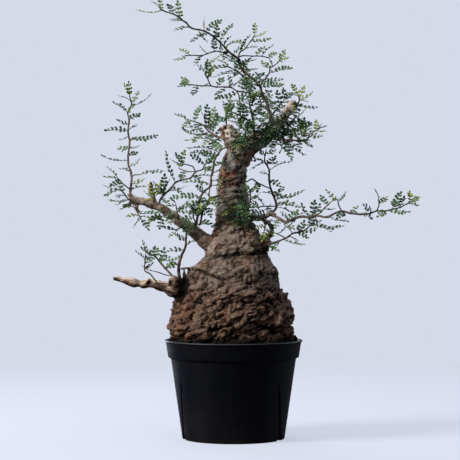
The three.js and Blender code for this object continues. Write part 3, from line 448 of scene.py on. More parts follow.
edge_wear = add_node(tree, "Math", {0: edge, 1: clouds}, operation="MULTIPLY")
worn = add_node(tree, "Mix", {0: edge_wear, 6: dusty, 7: linear("#5a5b61")}, data_type="RGBA")
satin = add_node(tree, "MapRange", {"Value": clouds, 1: 0.3, 2: 0.7, 3: 0.34, 4: 0.5})
grain = add_node(tree, "TexNoise", {"Vector": place, "Scale": 1400.0, "Detail": 2.0})
fine = add_node(tree, "Bump", {"Height": grain, "Strength": 0.12, "Distance": 0.0002})
in_flute = add_node(tree, "Attribute", attribute_name="in_flute")
# Painted shade: the flutes reflect less, so they show as dark lines.
gloss = add_node(tree, "MapRange", {"Value": in_flute.outputs["Fac"], 1: 0.0, 2: 0.6, 3: 0.3, 4: 0.03})
plastic_shader = add_node(tree, "BsdfPrincipled", {
    "Base Color": worn, "Roughness": satin, "IOR": 1.49, "Normal": fine,
    "Specular IOR Level": gloss, "Specular Tint": linear("#e2e9ff"),
})
add_node(tree, "OutputMaterial", {"Surface": plastic_shader})

# %% [markdown]
# The profile is turned round the axis, and the flutes press its points inwards. The drain slots are cut
# afterwards by four blocks, because a slot goes through the wall and a turned surface has no holes.

# %% The pot
radius, height = profile[:, 0], profile[:, 1]
outside = np.arange(len(profile)) < np.argmax(height)
# The flutes are pressed into the outer skin only, deepest at the foot.
fade = np.clip(1 - height / FLUTES["top"], 0, 1) * outside * (radius > POT["foot"] - 1)
inset = FLUTES["deep"] * fade[:, None] * flute_share(radius[:, None], height[:, None], angles)
wall = turned(radius[:, None] - inset, height[:, None], angles)
pot = make_object("pot_shell", *closed_grid(wall, (0, 0, 0), (0, 0, POT["floor"])), [plastic])

NO_QUADS = np.zeros((0, 4), int)
NO_TRIANGLES = np.zeros((0, 3), int)
CUBE = np.array([[x, y, z] for z in (-1, 1) for y in (-1, 1) for x in (-1, 1)]) / 2
CUBE_FACES = np.array([[0, 2, 3, 1], [4, 5, 7, 6], [0, 1, 5, 4], [2, 6, 7, 3], [0, 4, 6, 2], [1, 3, 7, 5]])
block = CUBE * (DRAIN_SLOT["deep"], DRAIN_SLOT["wide"], 2 * DRAIN_SLOT["high"]) + (POT["foot"], 0, 0)
slots = []
for turn in FLUTES["angles"]:
    spin = np.array([[np.cos(turn), np.sin(turn), 0], [-np.sin(turn), np.cos(turn), 0], [0, 0, 1]])
    slots.append((block @ spin, CUBE_FACES, NO_TRIANGLES))
cutter = make_object("slot_cutter", *join(slots), [plastic], smooth=False)
cut = pot.modifiers.new("drain slots", "BOOLEAN")
cut.operation = "DIFFERENCE"
cut.solver = "MANIFOLD"
cut.object = cutter
applied(pot)
bpy.data.objects.remove(cutter)
pot.data.set_sharp_from_angle(angle=SHARP_EDGE)
x, y, z = read_mesh(pot)[0].T
# How deep in a flute each point lies, for the painted shade there.
flute_painted_shade = flute_share(np.hypot(x, y), z, np.arctan2(y, x)) * smooth_step(z, *FLUTE_PAINTED_SHADE_BELOW)
add_values(pot, in_flute=flute_painted_shade)
settle(pot, "pot")

# %% [markdown]
# Potting mix fills the pot up to a finger's width under the flange, and shows only as a dark ring round
# the stem and in the drain slots. It is peat with grit and bits of bark. The fill is one turned shape
# with a lumpy top, and the bits are small crumpled stones of six points, strewn on the ring that shows.

# %% The potting mix
SOIL_LEVEL = 97
SOIL_GAP = 0.35
SOIL_STEP = 1.6
SOIL_LUMP = 1.1
# The crumbs lie on a ring between two radii, and their sizes are half widths.
CRUMBS = 700
CRUMB_RING = (60, 68.6)
CRUMB_SIZES = (0.5, 2.6)
SHARP_CRUMB = np.radians(50)

# Grains of 2.4 mm in mixed browns, rough by 1.1 mm, look like a dark crumbly bed.
peat, tree, place = new_material("peat and grit")
crumb_tone = add_node(tree, "TexVoronoi", {"Vector": place, "Scale": 420.0})
crumb_color = add_node(tree, "ValToRGB", {"Fac": crumb_tone.outputs["Color"]}, stops=[
    (0.1, "#17110d"), (0.55, "#33271e"), (0.85, "#5d4a39"), (0.97, "#8b7d6a"),
])
soil_rough = add_node(tree, "TexNoise", {"Vector": place, "Scale": 900.0, "Detail": 5.0})
soil_bump = add_node(tree, "Bump", {"Height": soil_rough, "Strength": 0.7, "Distance": 0.0006})
soil_shader = add_node(tree, "BsdfPrincipled", {
    "Base Color": crumb_color, "Roughness": 0.95, "Normal": soil_bump,
})
add_node(tree, "OutputMaterial", {"Surface": soil_shader})

soil_floor = POT["floor"] + SOIL_GAP
inner = {key: value - POT["wall"] - SOIL_GAP for key, value in [
    ("foot", POT["foot"]), ("shoulder", POT["shoulder"]), ("low", COLLAR["low"]),
]}
# Like the inside of the pot, a thin gap smaller, and level at the top.
soil_profile = filled(np.array([
    (5, soil_floor), (inner["foot"], soil_floor), (inner["shoulder"] - 0.4, shoulder_z - 1.6),
    (inner["low"] - 0.6, shoulder_z + 2), (inner["low"], SOIL_LEVEL - 1), (66, SOIL_LEVEL), (5, SOIL_LEVEL),
], float), SOIL_STEP)
soil_angles = np.linspace(0, 2 * np.pi, 200, endpoint=False)
soil_points = turned(soil_profile[:, :1], soil_profile[:, 1:], soil_angles)
top = (soil_profile[:, 1] > SOIL_LEVEL - 1.5)[:, None]
bumps = SOIL_LUMP * layered(soil_points.reshape(-1, 3), 5, 3).reshape(soil_points.shape[:2])
soil_points[..., 2] += np.where(top, bumps - 0.4, 0)
soil_shape = closed_grid(soil_points, (0, 0, soil_floor), (0, 0, SOIL_LEVEL))

rng = np.random.default_rng(11)
STONE = np.array([[1, 0, 0], [0, 1, 0], [-1, 0, 0], [0, -1, 0], [0, 0, 1], [0, 0, -1]], float)
STONE_FACES = np.array([
    [0, 1, 4], [1, 2, 4], [2, 3, 4], [3, 0, 4], [1, 0, 5], [2, 1, 5], [3, 2, 5], [0, 3, 5],
])
# Most crumbs are small and a few are large. Each is stretched and turned at random.
turns = rng.uniform(0, 2 * np.pi, CRUMBS)
reach = rng.uniform(*CRUMB_RING, CRUMBS)
size = rng.gamma(3, 0.42, CRUMBS).clip(*CRUMB_SIZES)
lean = np.linalg.qr(rng.normal(0, 1, (CRUMBS, 3, 3)))[0]
crumbs = STONE * rng.uniform(0.6, 1.2, (CRUMBS, 6, 1)) * rng.uniform(0.5, 1, (CRUMBS, 1, 3))
crumbs = (crumbs * size[:, None, None]) @ lean
crumbs += turned(reach, SOIL_LEVEL + 0.4 + rng.uniform(-0.4, 0.7, CRUMBS), turns)[:, None]
# Where the turn also mirrors a crumb, its faces run the other way round.
flipped = np.linalg.det(lean) < 0
faces = np.where(flipped[:, None, None], STONE_FACES[:, ::-1], STONE_FACES)
faces = (faces + 6 * np.arange(CRUMBS)[:, None, None]).reshape(-1, 3)
grit = (crumbs.reshape(-1, 3), NO_QUADS, faces)
soil = make_object("potting_mix", *join([soil_shape, grit]), [peat])
soil.data.set_sharp_from_angle(angle=SHARP_CRUMB)
settle(soil, "soil")

# %% [markdown]
# All the thick wood grew as one piece, so it becomes one mesh. The swollen stem is a grid of rings,
# opened to the outline that is seen from the front and roughened by its broad lumps. The trunk, the
# arms, the stubs and the dead branch are rods bent along smooth routes. A fine voxel remesh melts them
# together, as they are melted together in nature, before the small bark is raised on the whole.

# %% The outline of the swollen stem and the routes of the limbs
STEM_OUTLINE = np.array([
    (58, -9, 5), (62, -22, 17), (70, -37, 31), (80, -50, 44), (90, -59, 54), (97, -64, 60),
    (103, -67.5, 63), (108, -69, 63.6), (118, -71, 63.4), (128, -70.5, 64.7), (136, -68, 64.5),
    (145, -64, 61.4), (156, -60, 58), (166, -56, 52.7), (178, -50, 47.6), (185, -45, 46),
    (191, -37, 40.5), (196, -31, 38), (200, -30, 38.4), (205, -30, 36), (212, -29, 32),
    (220, -23.5, 29.5), (228, -20, 24), (236, -18.6, 19.5), (244, -17.2, 16), (252, -13, 11),
], float)
BURLS = [
    {"at": (-41, -22, 178), "high": 4.5, "spread": 5.5}, {"at": (41, -20, 182), "high": 5, "spread": 6},
    {"at": (46, -30, 168), "high": 3.5, "spread": 6}, {"at": (-4, 48, 172), "high": 5, "spread": 8},
    {"at": (18, -26, 205), "high": 3.5, "spread": 7},
]
LIMBS = {
    "trunk": [
        (0, 0, 228, 15), (-0.8, 0, 240, 17.8), (-1, 0, 253, 17.4), (-1.5, -1, 270, 15.9),
        (-1.1, -1.5, 280, 14.5), (0, -2, 291, 14.3), (2.4, -2, 300, 14), (8, -2, 308, 12.8),
        (16, -1, 316, 11.2), (24, 0, 321.5, 10), (33, 2, 327, 8.8), (42, 4, 334, 7.2),
        (50, 5, 343, 5.6), (57, 6, 352, 4.9), (64, 6, 361, 4.7), (68, 6, 365.5, 4.6),
    ],
    "knob": [
        (3, -2, 298, 11), (2.5, -3, 311, 8.4), (-3, -4, 323, 7.6), (-7, -5, 333, 7.8), (-8, -6, 339, 6.2),
    ],
    "crown_hump": [(3, -2, 298, 13), (5, -2, 309, 12), (7, -2, 318, 9.5), (10, -1, 325, 7)],
    "left_arm": [
        (-13, -1, 203, 9.5), (-29, -5, 213, 8.6), (-38, -7, 220.5, 7), (-47, -8, 228, 6),
        (-58, -9, 235, 5.3), (-69, -10, 243.5, 4.9), (-80, -10, 250.5, 4.6), (-91, -10, 255, 4.5),
        (-101, -10, 257.5, 4.2), (-107, -9, 259, 4), (-111, -9, 261.5, 3.2),
    ],
    "arm_stub": [(-85, -10, 254, 3), (-87.5, -10, 263, 2.7), (-90.5, -10, 278, 2.4)],
    "arm_end_stub": [(-107, -9, 259, 2.4), (-113, -10, 254.5, 1.8), (-119, -10, 251.5, 1.4)],
    "arm_end_spur": [(-105, -9, 257, 2.6), (-104.5, -10, 250, 1.9), (-102, -10, 245, 1.3)],
    "arm_end_knob": [(-110, -9, 261, 3), (-113, -10, 266, 2.4)],
    "right_arm": [
        (10, 0, 237, 4), (20, -1, 239, 3.3), (31, -3, 239.5, 2.9), (40, -4, 243.5, 2.5), (46, -6, 242.4, 2.2),
    ],
    "shoulder_stub": [
        (28, -8, 201, 5), (34, -10, 209, 4.4), (35.5, -10, 216, 3.4), (40.5, -9, 222.5, 2.3),
        (41.5, -7, 229, 2), (37, -5, 234, 2.1), (30, -3, 239, 2.4),
    ],
    "dead_branch": [
        (-32, -4, 157, 11), (-46, -7, 160, 12.5), (-56, -9, 161.5, 11.5), (-64, -10, 162, 9.2),
        (-71, -10, 164, 6.9), (-79, -10, 166, 5.2), (-88, -10, 168, 4.9), (-95, -10, 168, 4.6),
        (-103, -9, 168.3, 3.7), (-112, -8, 170.2, 3.5), (-118, -7, 171.8, 3.3), (-124, -6, 173, 2.9),
        (-130, -5, 173.6, 2.1),
    ],
    "splinter_front": [(-52, -10, 168, 4), (-53, -11, 176, 3), (-53.5, -12, 183.5, 1.1)],
    "splinter_back": [(-50, -6, 168, 4), (-48.5, -6, 178, 2.6), (-48, -7, 185, 1)],
    "splinter_left": [(-57, -13, 166, 3.6), (-58, -15, 172, 2.7), (-58.5, -16, 178, 1)],
    "knob_wound": [(-8, -6, 331, 6.5), (-3, -8, 328, 7.6), (3, -8, 323.5, 7.4), (8, -7, 319, 6)],
    "dead_knee": [(-58, -12, 167, 6), (-64, -14, 170, 6.6), (-69.5, -13, 170, 5)],
    "dead_knot": [(-90, -12, 170, 3.4), (-93.5, -13, 172, 3)],
}
# The lumps stand out beyond the outline, so the outline of the broad part lies inside what is seen.
OUTLINE_TRIM = {"left": 2.0, "right": 4.2, "from": (98, 106), "up to": (180, 166)}
# How high the lumps of a limb are, as a share of the usual.
LIMB_ROUGHNESS = {
    "trunk": 0.7, "knob": 0.6, "crown_hump": 0.6, "left_arm": 0.5, "right_arm": 0.3, "shoulder_stub": 0.4,
    "dead_branch": 1,
}
THIN_ROOT = np.array([
    (-58, 184), (-51, 185), (-45, 186), (-36, 184.5), (-29, 181.5), (-22, 178.5), (-15, 176), (-8, 174),
], float)
THIN_ROOT_RADII = (1.25, 0.8)
THIN_ROOT_LIFT = 2.3
print("limbs:", len(LIMBS))

# %% [markdown]
# A limb tapers and bends, but is round across. So it is a rod: a smooth curve through the points that were
# read from the front, with a ring of points square to it at each of its steps.

# %% Rods along smooth routes
# Not quite +Y, so that a rod that runs straight back has its rings too.
BACKWARD = np.array([0.03, 1.0, 0.05])
LIMB_GRAIN = (9, 9, 16)
LUMP_LEAN = 0.35


def smooth_route(rows, steps):
    """Rows of numbers joined by a Catmull-Rom curve, with some steps to each span: from B to C the curve is
    half of 2B + (C-A)t + (2A-5B+4C-D)t^2 + (3B-3C+D-A)t^3."""
    rows = np.array(rows, float)
    padded = np.concatenate([[2 * rows[0] - rows[1]], rows, [2 * rows[-1] - rows[-2]]])
    a, b, c, d = [padded[k:len(padded) - 3 + k, None] for k in range(4)]
    t = np.linspace(0, 1, steps, endpoint=False)[None, :, None]
    curve = 2 * b + (c - a) * t + (2 * a - 5 * b + 4 * c - d) * t ** 2 + (3 * b - 3 * c + d - a) * t ** 3
    return np.concatenate([0.5 * curve.reshape(-1, rows.shape[1]), rows[-1:]])


def unit(vectors):
    """The same directions with a length of 1."""
    return vectors / np.linalg.norm(vectors, axis=-1, keepdims=True)


def lumps(places, grain):
    """Round lumps with sharp valleys, about -0.6 to 1.8: 2.4 times the absolute noise, less 0.6, in cells
    of the grain's size that lean as the height minus 0.35 x."""
    x, y, z = places.T
    return 2.4 * np.abs(noise(np.stack([x, y, z - LUMP_LEAN * x], axis=-1) / grain)) - 0.6


def rod(route, radii, sides, rough=0):
    """A closed rod: at each point of a route, a ring of the radius across it. The ring's first direction is
    nearly +Y, less its share along the route, and its second is square to both. A rough rod has lumps."""
    along = unit(np.gradient(route, axis=0))
    across = unit(BACKWARD - along * (along @ BACKWARD)[:, None])
    other = np.cross(along, across)
    turn = np.linspace(0, 2 * np.pi, sides, endpoint=False)[None, :, None]
    out = np.cos(turn) * across[:, None] + np.sin(turn) * other[:, None]
    rings = route[:, None] + out * radii[:, None, None]
    if rough:
        bumps = rough * lumps(rings.reshape(-1, 3), LIMB_GRAIN)
        rings = rings + out * bumps.reshape(rings.shape[:2])[..., None]
    return closed_grid(rings, route[0], route[-1])


print("steps along the trunk:", len(smooth_route(LIMBS["trunk"], 5)))

# %% [markdown]
# The swollen stem stores water. It bulges above the soil, narrows to a neck, and is lumpy all over. Its
# front view is known best, so each ring is an ellipse between the two edges seen there.

# %% The broad form of the swollen stem
STEM_DEPTH = 0.97
STEM_IN_POT = 69.4
STEM_FOOT = 84
STEM_TOP = 252
RING_STEP = 1.1
BARK_LUMP = 4.2
BARK_GRAIN = (19, 19, 9.5)
CALM_FROM = (154, 174)
CALMED = 0.74
# The crease is cut into the front, where x less y grows through these two values.
CREASE = {"height": 199, "slope": 0.08, "width": 2.6, "depth": 2.6, "front": (-10, 25)}


def outline(z):
    """The left and right edge of the stem at a height, on lines between the rows, eased over 2 mm."""
    edges = [
        sum(weight * np.interp(z + step, STEM_OUTLINE[:, 0], STEM_OUTLINE[:, side])
            for step, weight in [(-2, 0.25), (0, 0.5), (2, 0.25)])
        for side in (1, 2)
    ]
    broad = smooth_step(z, *OUTLINE_TRIM["from"]) * smooth_step(z, *OUTLINE_TRIM["up to"])
    return edges[0] + OUTLINE_TRIM["left"] * broad, edges[1] - OUTLINE_TRIM["right"] * broad


def bark_relief(places):
    """How far the broad bark stands out: lumps that calm down above 154 mm, a bell for each burl, and one
    crease round the front."""
    x, y, z = places.T
    relief = BARK_LUMP * (1 - CALMED * smooth_step(z, *CALM_FROM)) * lumps(places, BARK_GRAIN)
    for burl in BURLS:
        away = ((places - burl["at"]) ** 2).sum(axis=-1)
        relief += burl["high"] * np.exp(-away / (2 * burl["spread"] ** 2))
    crease = CREASE["height"] + CREASE["slope"] * x
    front = smooth_step(x - y, *CREASE["front"])
    relief -= CREASE["depth"] * front * np.exp(-((z - crease) / CREASE["width"]) ** 2)
    return smooth_step(z, SOIL_LEVEL, SOIL_LEVEL + 7) * relief


def stem_surface(angle, z, lift=0.0):
    """Points of the stem: an ellipse between the two edges, moved straight out by the bark, and held inside
    the pot up to just above its flange."""
    left, right = outline(z)
    middle, half = (left + right) / 2, (right - left) / 2
    toward = np.stack([np.cos(angle), np.sin(angle), np.zeros_like(angle)], axis=-1)
    even = np.stack([middle + half * np.cos(angle), STEM_DEPTH * half * np.sin(angle), z], axis=-1)
    places = even + toward * (bark_relief(even.reshape(-1, 3)).reshape(z.shape) + lift)[..., None]
    from_axis = np.hypot(places[..., 0], places[..., 1])
    held = (z <= POT["height"] + 3) & (from_axis > STEM_IN_POT)
    pull = np.where(held, STEM_IN_POT / from_axis, 1)
    return places * np.stack([pull, pull, np.ones_like(pull)], axis=-1)


levels = np.arange(STEM_FOOT, STEM_TOP + 0.1, RING_STEP)
stem_angles = np.linspace(0, 2 * np.pi, 360, endpoint=False)
angle_grid, level_grid = np.meshgrid(stem_angles, levels)
stem_rings = stem_surface(angle_grid, level_grid)
stem_shape = closed_grid(stem_rings, stem_rings[0].mean(axis=0), stem_rings[-1].mean(axis=0))
print("the stem is", round(np.ptp(stem_rings[..., 0])), "mm across")

# %% [markdown]
# The stem and its limbs overlap. A voxel remesh lays one even skin round all of them, as bark grows over
# every joint. Its cells are 1.16 mm wide, small enough for the splinters.

# %% All the thick wood, melted into one mesh
VOXEL = 1.16
LIMB_SIDES = 28
THINNEST_LIMB = 0.6

wood_shapes = [stem_shape]
limb_lines = {}
for name, rows in LIMBS.items():
    line = smooth_route(rows, 5)
    limb_lines[name] = line
    radii = line[:, 3].clip(THINNEST_LIMB)
    wood_shapes.append(rod(line[:, :3], radii, LIMB_SIDES, LIMB_ROUGHNESS.get(name, 0)))

root_line = smooth_route(THIN_ROOT, 4)
left, right = outline(root_line[:, 1])
root_side = np.clip((root_line[:, 0] - (left + right) / 2) / ((right - left) / 2), -0.98, 0.98)
root_route = stem_surface(-np.arccos(root_side), root_line[:, 1], THIN_ROOT_LIFT)
# The thin root comes from beyond the stem's edge.
root_route[:4, 0] = np.minimum(root_route[:4, 0], root_line[:4, 0])
wood_shapes.append(rod(root_route, np.linspace(*THIN_ROOT_RADII, len(root_route)), 10))
limb_lines["thin_root"] = np.column_stack([root_route, np.ones(len(root_route))])

wood = make_object("wood_of_one_growth", *join(wood_shapes), [])
melt = wood.modifiers.new("melt", "REMESH")
melt.mode = "VOXEL"
melt.voxel_size = VOXEL * MM
applied(wood)
wood_points, wood_normals = read_mesh(wood)
print("melted wood:", len(wood_points), "points")

# %% [markdown]
# The small bark differs from place to place. Low down the stem is wrinkled like a walnut, in lumps of
# 10 to 14 mm by 6 with dark crevices. Higher up it is calmer, with faint upright furrows, and above the
# crease it is knobbly again. The limbs have fine bark, and the dead branch has weathered to long fibres.
# So each point first learns what it belongs to, and then is moved along its normal by that bark's rule.
# One kind of bark turns into the next between two values. Most are heights, places to the left or right,
# or distances, all in millimetres. Those near an arm or a splinter are distances in its radii.

# %% What each point of the wood belongs to
CHANGES = {
    "trunk above": (232, 246), "near an arm": (2.4, 1.6), "arm off the axis": (24, 34),
    "arm above": (196, 206), "shoulder below": (200, 190), "dead left of": (-60, -70),
    "dead above": (150, 155), "near a splinter": (2.2, 1.4), "wrinkled below": (182, 150),
    "calm above": CALM_FROM, "calm below": (206, 197), "knobbly above": (196, 203),
    "near the thin root": (3.4, 2.0), "moss above": (222, 232), "moss below": (268, 254),
    "moss right of": (-15, -4), "bend right of": (8, 24), "bend above": (306, 318),
    "knob left of": (-8, -12), "knob above": (312, 320), "short of the tip": (-134, -124),
}


def turned_into(values, change):
    """How far the values have gone through a named change, from 0 to 1."""
    return smooth_step(values, *CHANGES[change])


def near_limb(names, places):
    """The smallest distance to some limbs' middles, in radii of the limb there, or in mm if it is thinner."""
    best = np.full(len(places), 99.0)
    for name in names:
        for x, y, z, radius in limb_lines[name]:
            gap = np.sqrt(((places - (x, y, z)) ** 2).sum(axis=-1)) / max(radius, 1.0)
            best = np.minimum(best, gap)
    return best


x, y, z = wood_points.T
on_arm = turned_into(near_limb(["left_arm", "arm_stub", "right_arm"], wood_points), "near an arm")
on_arm *= turned_into(np.hypot(x, y), "arm off the axis") * turned_into(z, "arm above")
on_trunk = turned_into(z, "trunk above") * (1 - on_arm)
shoulder = turned_into(z, "shoulder below")
splinters = ["splinter_front", "splinter_back", "splinter_left"]
splintered = turned_into(near_limb(splinters, wood_points), "near a splinter") * shoulder
on_dead = turned_into(x, "dead left of") * shoulder * turned_into(z, "dead above")
on_dead = np.maximum(on_dead, splintered)
on_stem = np.clip(1 - on_trunk - on_arm - on_dead, 0, 1)
print("shares:", [round(float(s.mean()), 3) for s in (on_stem, on_trunk, on_arm, on_dead)])

# %% [markdown]
# Each kind of bark is a sum of lumps and furrows, each times its height in millimetres, less about half of
# their total, so that the wood gets no thicker.

# %% The small bark, as heights in millimetres
def billows(places, across, high, layers):
    """Lumps on lumps, about 0 to 1: absolute noise in cells of this width and height, whose valleys are sharp
    and whose hills are round. Each layer is 1.9 times finer and 0.55 times as high, and is weak in the
    valleys of the one before, so the crevices stay deep. A slower noise bends all of them."""
    x, y, z = places.T
    bend = np.stack([noise(places / 14 + shift) for shift in (3.1, 7.7, 12.9)], axis=-1)
    spot = np.stack([x, y, z - LUMP_LEAN * x], axis=-1) / (across, across, high) + 0.5 * bend
    total, weight = 0, 1
    for layer in range(layers):
        hill = np.abs(noise(spot * 1.9 ** layer + 5.3 * layer))
        total = total + hill * weight * 0.55 ** layer
        weight = np.clip(0.3 + 2.2 * hill, 0, 1)
    return total / 0.75


wrinkled = turned_into(z, "wrinkled below")
calm = turned_into(z, "calm above") * turned_into(z, "calm below")
knobbly = turned_into(z, "knobbly above")
low_lumps = billows(wood_points, 12, 6.2, 3)
small_lumps = billows(wood_points + 40, 5.0, 2.9, 2)
tiny_lumps = np.abs(noise(wood_points / (3.0, 3.0, 2.3) + 60))
furrows = np.abs(noise(np.stack([x / 4.2, y / 4.2, z / 17], axis=-1)))
scars = np.abs(noise(np.stack([x / 15, y / 15, (z - 0.2 * x) / 2.9], axis=-1)))
grit = layered(wood_points, 2.8, 2)
# Flakes lie over each other like tiles. Each leaves the surface slowly and ends below in a sharp edge.
tiles = (z - 0.3 * x) / 5.6 + 1.5 * noise(wood_points / 15 + 21) + 0.55 * noise(wood_points / 5.5 + 9)
tile_rise = tiles - np.floor(tiles)
flaky = smooth_step(noise(wood_points / 19 + 50), -0.45, 0.05)
stem_height = wrinkled * (2.5 * low_lumps + 2.1 * small_lumps + 1.5 * flaky * (1 - tile_rise) - 2.3)
stem_height += calm * (1.1 * furrows + 0.8 * small_lumps + 0.4 * low_lumps + 0.6 * tiny_lumps - 0.8)
stem_height += knobbly * (1.6 * small_lumps + 0.4 * low_lumps + 1.6 * tiny_lumps - 1.2)
stem_height += 0.4 * grit
on_root = turned_into(near_limb(["thin_root"], wood_points), "near the thin root")
stem_height *= 1 - 0.9 * on_root
stem_height *= smooth_step(z, SOIL_LEVEL - 2, SOIL_LEVEL + 5)
knots = billows(wood_points + 90, 4.6, 2.9, 2)
trunk_height = 1.1 * knots + 2.0 * scars + 0.35 * grit - 1.05
arm_height = 0.7 * knots + 0.15 * grit - 0.35
fibres = np.abs(noise(np.stack([x / 16, y / 1.9, z / 1.9], axis=-1)))
fine_fibres = noise(np.stack([x / 9, y / 0.95, z / 0.95], axis=-1))
dead_height = 0.9 * fibres + 0.25 * fine_fibres - 0.35
print("wrinkled:", round(float(wrinkled.mean()), 2), "calm:", round(float(calm.mean()), 2))

# %% [markdown]
# Where a twig broke off, a small dark hole stays. The holes are dents in the same mesh, as bells that point
# inwards, and then all points move along their normals at once.

# %% Holes, and the bark raised on the wood
# Each hole is a pixel of the front view, the depth in mm there, and a radius in mm.
DARK_HOLES = [
    ((148, 284), -16, 2.6), ((169, 283), -19, 2.8), ((225, 127.5), -13, 2.1), ((223.5, 132.5), -13, 1.8),
    ((295, 104), 2, 2.5), ((207, 284), -55, 4), ((262, 273), -38, 3),
]
HOLE_DEPTH = 1.8
# One larger hollow lies under the root of the dead branch: its middle and its half sizes.
HOLLOW = {"at": (-52, -17, 162), "half": (7.5, 9, 12), "deep": 4.5}
holes = np.zeros(len(z))
for pixel, spot_depth, size in DARK_HOLES:
    gap = (wood_points - from_view(*pixel, spot_depth)) / size
    holes = np.maximum(holes, np.exp(-(gap ** 2).sum(axis=-1)))
hollow = np.exp(-(((wood_points - HOLLOW["at"]) / HOLLOW["half"]) ** 2).sum(axis=-1))
height_of_bark = (
    on_stem * stem_height + on_trunk * trunk_height + on_arm * arm_height + on_dead * dead_height
    - HOLLOW["deep"] * hollow - HOLE_DEPTH * holes
)
moved = wood_points + wood_normals * height_of_bark[:, None]
# The bark stays clear of the pot's inner wall.
farthest = STEM_IN_POT + 0.6
from_axis = np.hypot(moved[:, 0], moved[:, 1])
held = (z < SOIL_LEVEL + 13) & (from_axis > farthest)
moved[:, :2] *= np.where(held, farthest / from_axis, 1)[:, None]
wood.data.vertices.foreach_set("co", (moved * MM).astype(np.float32).ravel())
wood.data.polygons.foreach_set("use_smooth", np.ones(len(wood.data.polygons), bool))
wood.data.update()
print("bark from", round(height_of_bark.min(), 1), "to", round(height_of_bark.max(), 1), "mm")

# %% [markdown]
# A material can read numbers that are stored with the points of a mesh. The first is how open a place
# lies, from 0 in a crevice to 1 on a top; the colour follows it as painted shade in crevices, hollows and
# holes and painted light on tops. The others are shares of what lies there: bare wood, moss, peeling bark,
# or painted light on the trunk.

# %% What the bark's colour follows
broad = lumps(wood_points, BARK_GRAIN)
stem_open = 0.13 + 0.8 * low_lumps * (wrinkled + 0.5 * knobbly) + 0.42 * small_lumps + 0.12 * broad
# Painted shade under the sharp lower edge of each flake.
stem_open -= 0.42 * wrinkled * flaky * smooth_step(tile_rise, 0.72, 0.98)
stem_open = np.clip(stem_open + calm * (0.16 + 0.3 * furrows), 0, 1)
trunk_open = np.clip(0.1 + 0.6 * knots + 1.0 * scars, 0, 1)
arm_open = np.clip(0.52 + 0.3 * knots, 0, 1)
# Painted light and shade: what faces up is painted lighter and what faces down darker, partly as the real
# bleaching of sun and rain.
facing_up = read_mesh(wood)[1][:, 2]
stem_open = stem_open + 0.2 * facing_up
arm_open = np.clip(arm_open + 0.22 * facing_up + 0.2 * layered(wood_points + 15, 9, 3), 0, 1)
dead_streaks = layered(wood_points / (2.4, 1, 1), 5, 2)
dead_open = np.clip(0.4 + 0.5 * fibres + 0.42 * facing_up + 0.25 * dead_streaks, 0, 1)
dead_open *= turned_into(x, "short of the tip")
openness = on_stem * stem_open + on_trunk * trunk_open + on_arm * arm_open + on_dead * dead_open
# Painted shade in the crease.
crease_gap = (z - CREASE["height"] - CREASE["slope"] * x) / 2.2
openness *= 1 - 0.75 * on_stem * np.exp(-crease_gap ** 2) * smooth_step(x - y, *CREASE["front"])
# Painted shade in the hollow under the dead branch.
openness *= 1 - 0.95 * np.clip(hollow * 1.8, 0, 1)
openness = np.clip(openness + 0.18 * on_stem * knobbly, 0, 1)
openness *= 1 - 0.35 * on_root
# Painted shade among the splinters.
openness *= 1 - 0.4 * splintered
# Painted shade low on the stem, just above the soil, where the rim of the pot shades it.
openness *= 0.35 + 0.65 * smooth_step(z, SOIL_LEVEL + 8, SOIL_LEVEL + 20)
# The holes are painted nearly black, as the shade inside them.
openness *= 1 - 0.97 * np.clip(1.6 * holes, 0, 1)
print("openness on average", round(float(openness.mean()), 2))

# %% Shares of bare wood, moss, painted light and peeling bark
# The sawn ends: the middle of the cut, the way it faces, its thickness and its radius in millimetres.
CUTS = [
    ((68, 6, 365.5), (0.64, 0, 0.77), 1.0, 4.6), ((-8, -6, 339), (-0.1, -0.16, 0.98), 1.2, 6.6),
    ((-91, -10, 277), (-0.2, 0, 0.98), 0.8, 2.4),
]
# Bare wood beside them: a pixel, the depth in mm there, and half sizes in mm across and up.
BARE_WOOD = [((229, 131), -14, 5.6, 7.2), ((289, 107), 1, 8, 6.5)]
MARK_DEPTH = 9
PEELING = {"height": 292, "slope": 0.5, "spread": 20.3}
# A painted highlight on the trunk: a pixel, the depth in mm there, and half sizes in mm across and up.
PAINTED_HIGHLIGHT = {"pixel": (229.5, 159), "depth": -14, "wide": 4.6, "high": 10}
sawn = np.zeros(len(z))
for end, toward, reach, radius in CUTS:
    past = (wood_points - end) @ unit(np.array(toward))
    near = np.sqrt(((wood_points - end) ** 2).sum(axis=-1))
    sawn = np.maximum(sawn, smooth_step(past, -reach, -0.2) * smooth_step(near, radius + 2, radius))
ragged = 0.35 * layered(wood_points + 70, 4, 2)
for pixel, spot_depth, wide, high in BARE_WOOD:
    gap = (wood_points - from_view(*pixel, spot_depth)) / (wide, MARK_DEPTH, high)
    sawn = np.maximum(sawn, smooth_step((gap ** 2).sum(axis=-1) + ragged, 1.25, 0.75))
# The painted shade of the holes stays on bare wood too.
sawn *= 1 - np.clip(1.6 * holes, 0, 1)
moss = turned_into(z, "moss above") * turned_into(z, "moss below") * turned_into(x, "moss right of")
moss *= (1 - on_arm) * smooth_step(layered(wood_points, 6, 2), -0.25, 0.3)
# The painted highlight fades over a ragged edge.
gap = wood_points - from_view(*PAINTED_HIGHLIGHT["pixel"], PAINTED_HIGHLIGHT["depth"])
gap = gap / (PAINTED_HIGHLIGHT["wide"], MARK_DEPTH, PAINTED_HIGHLIGHT["high"])
rubbed = smooth_step((gap ** 2).sum(axis=-1) + 0.5 * layered(wood_points + 80, 5, 2), 1.6, 0.3)
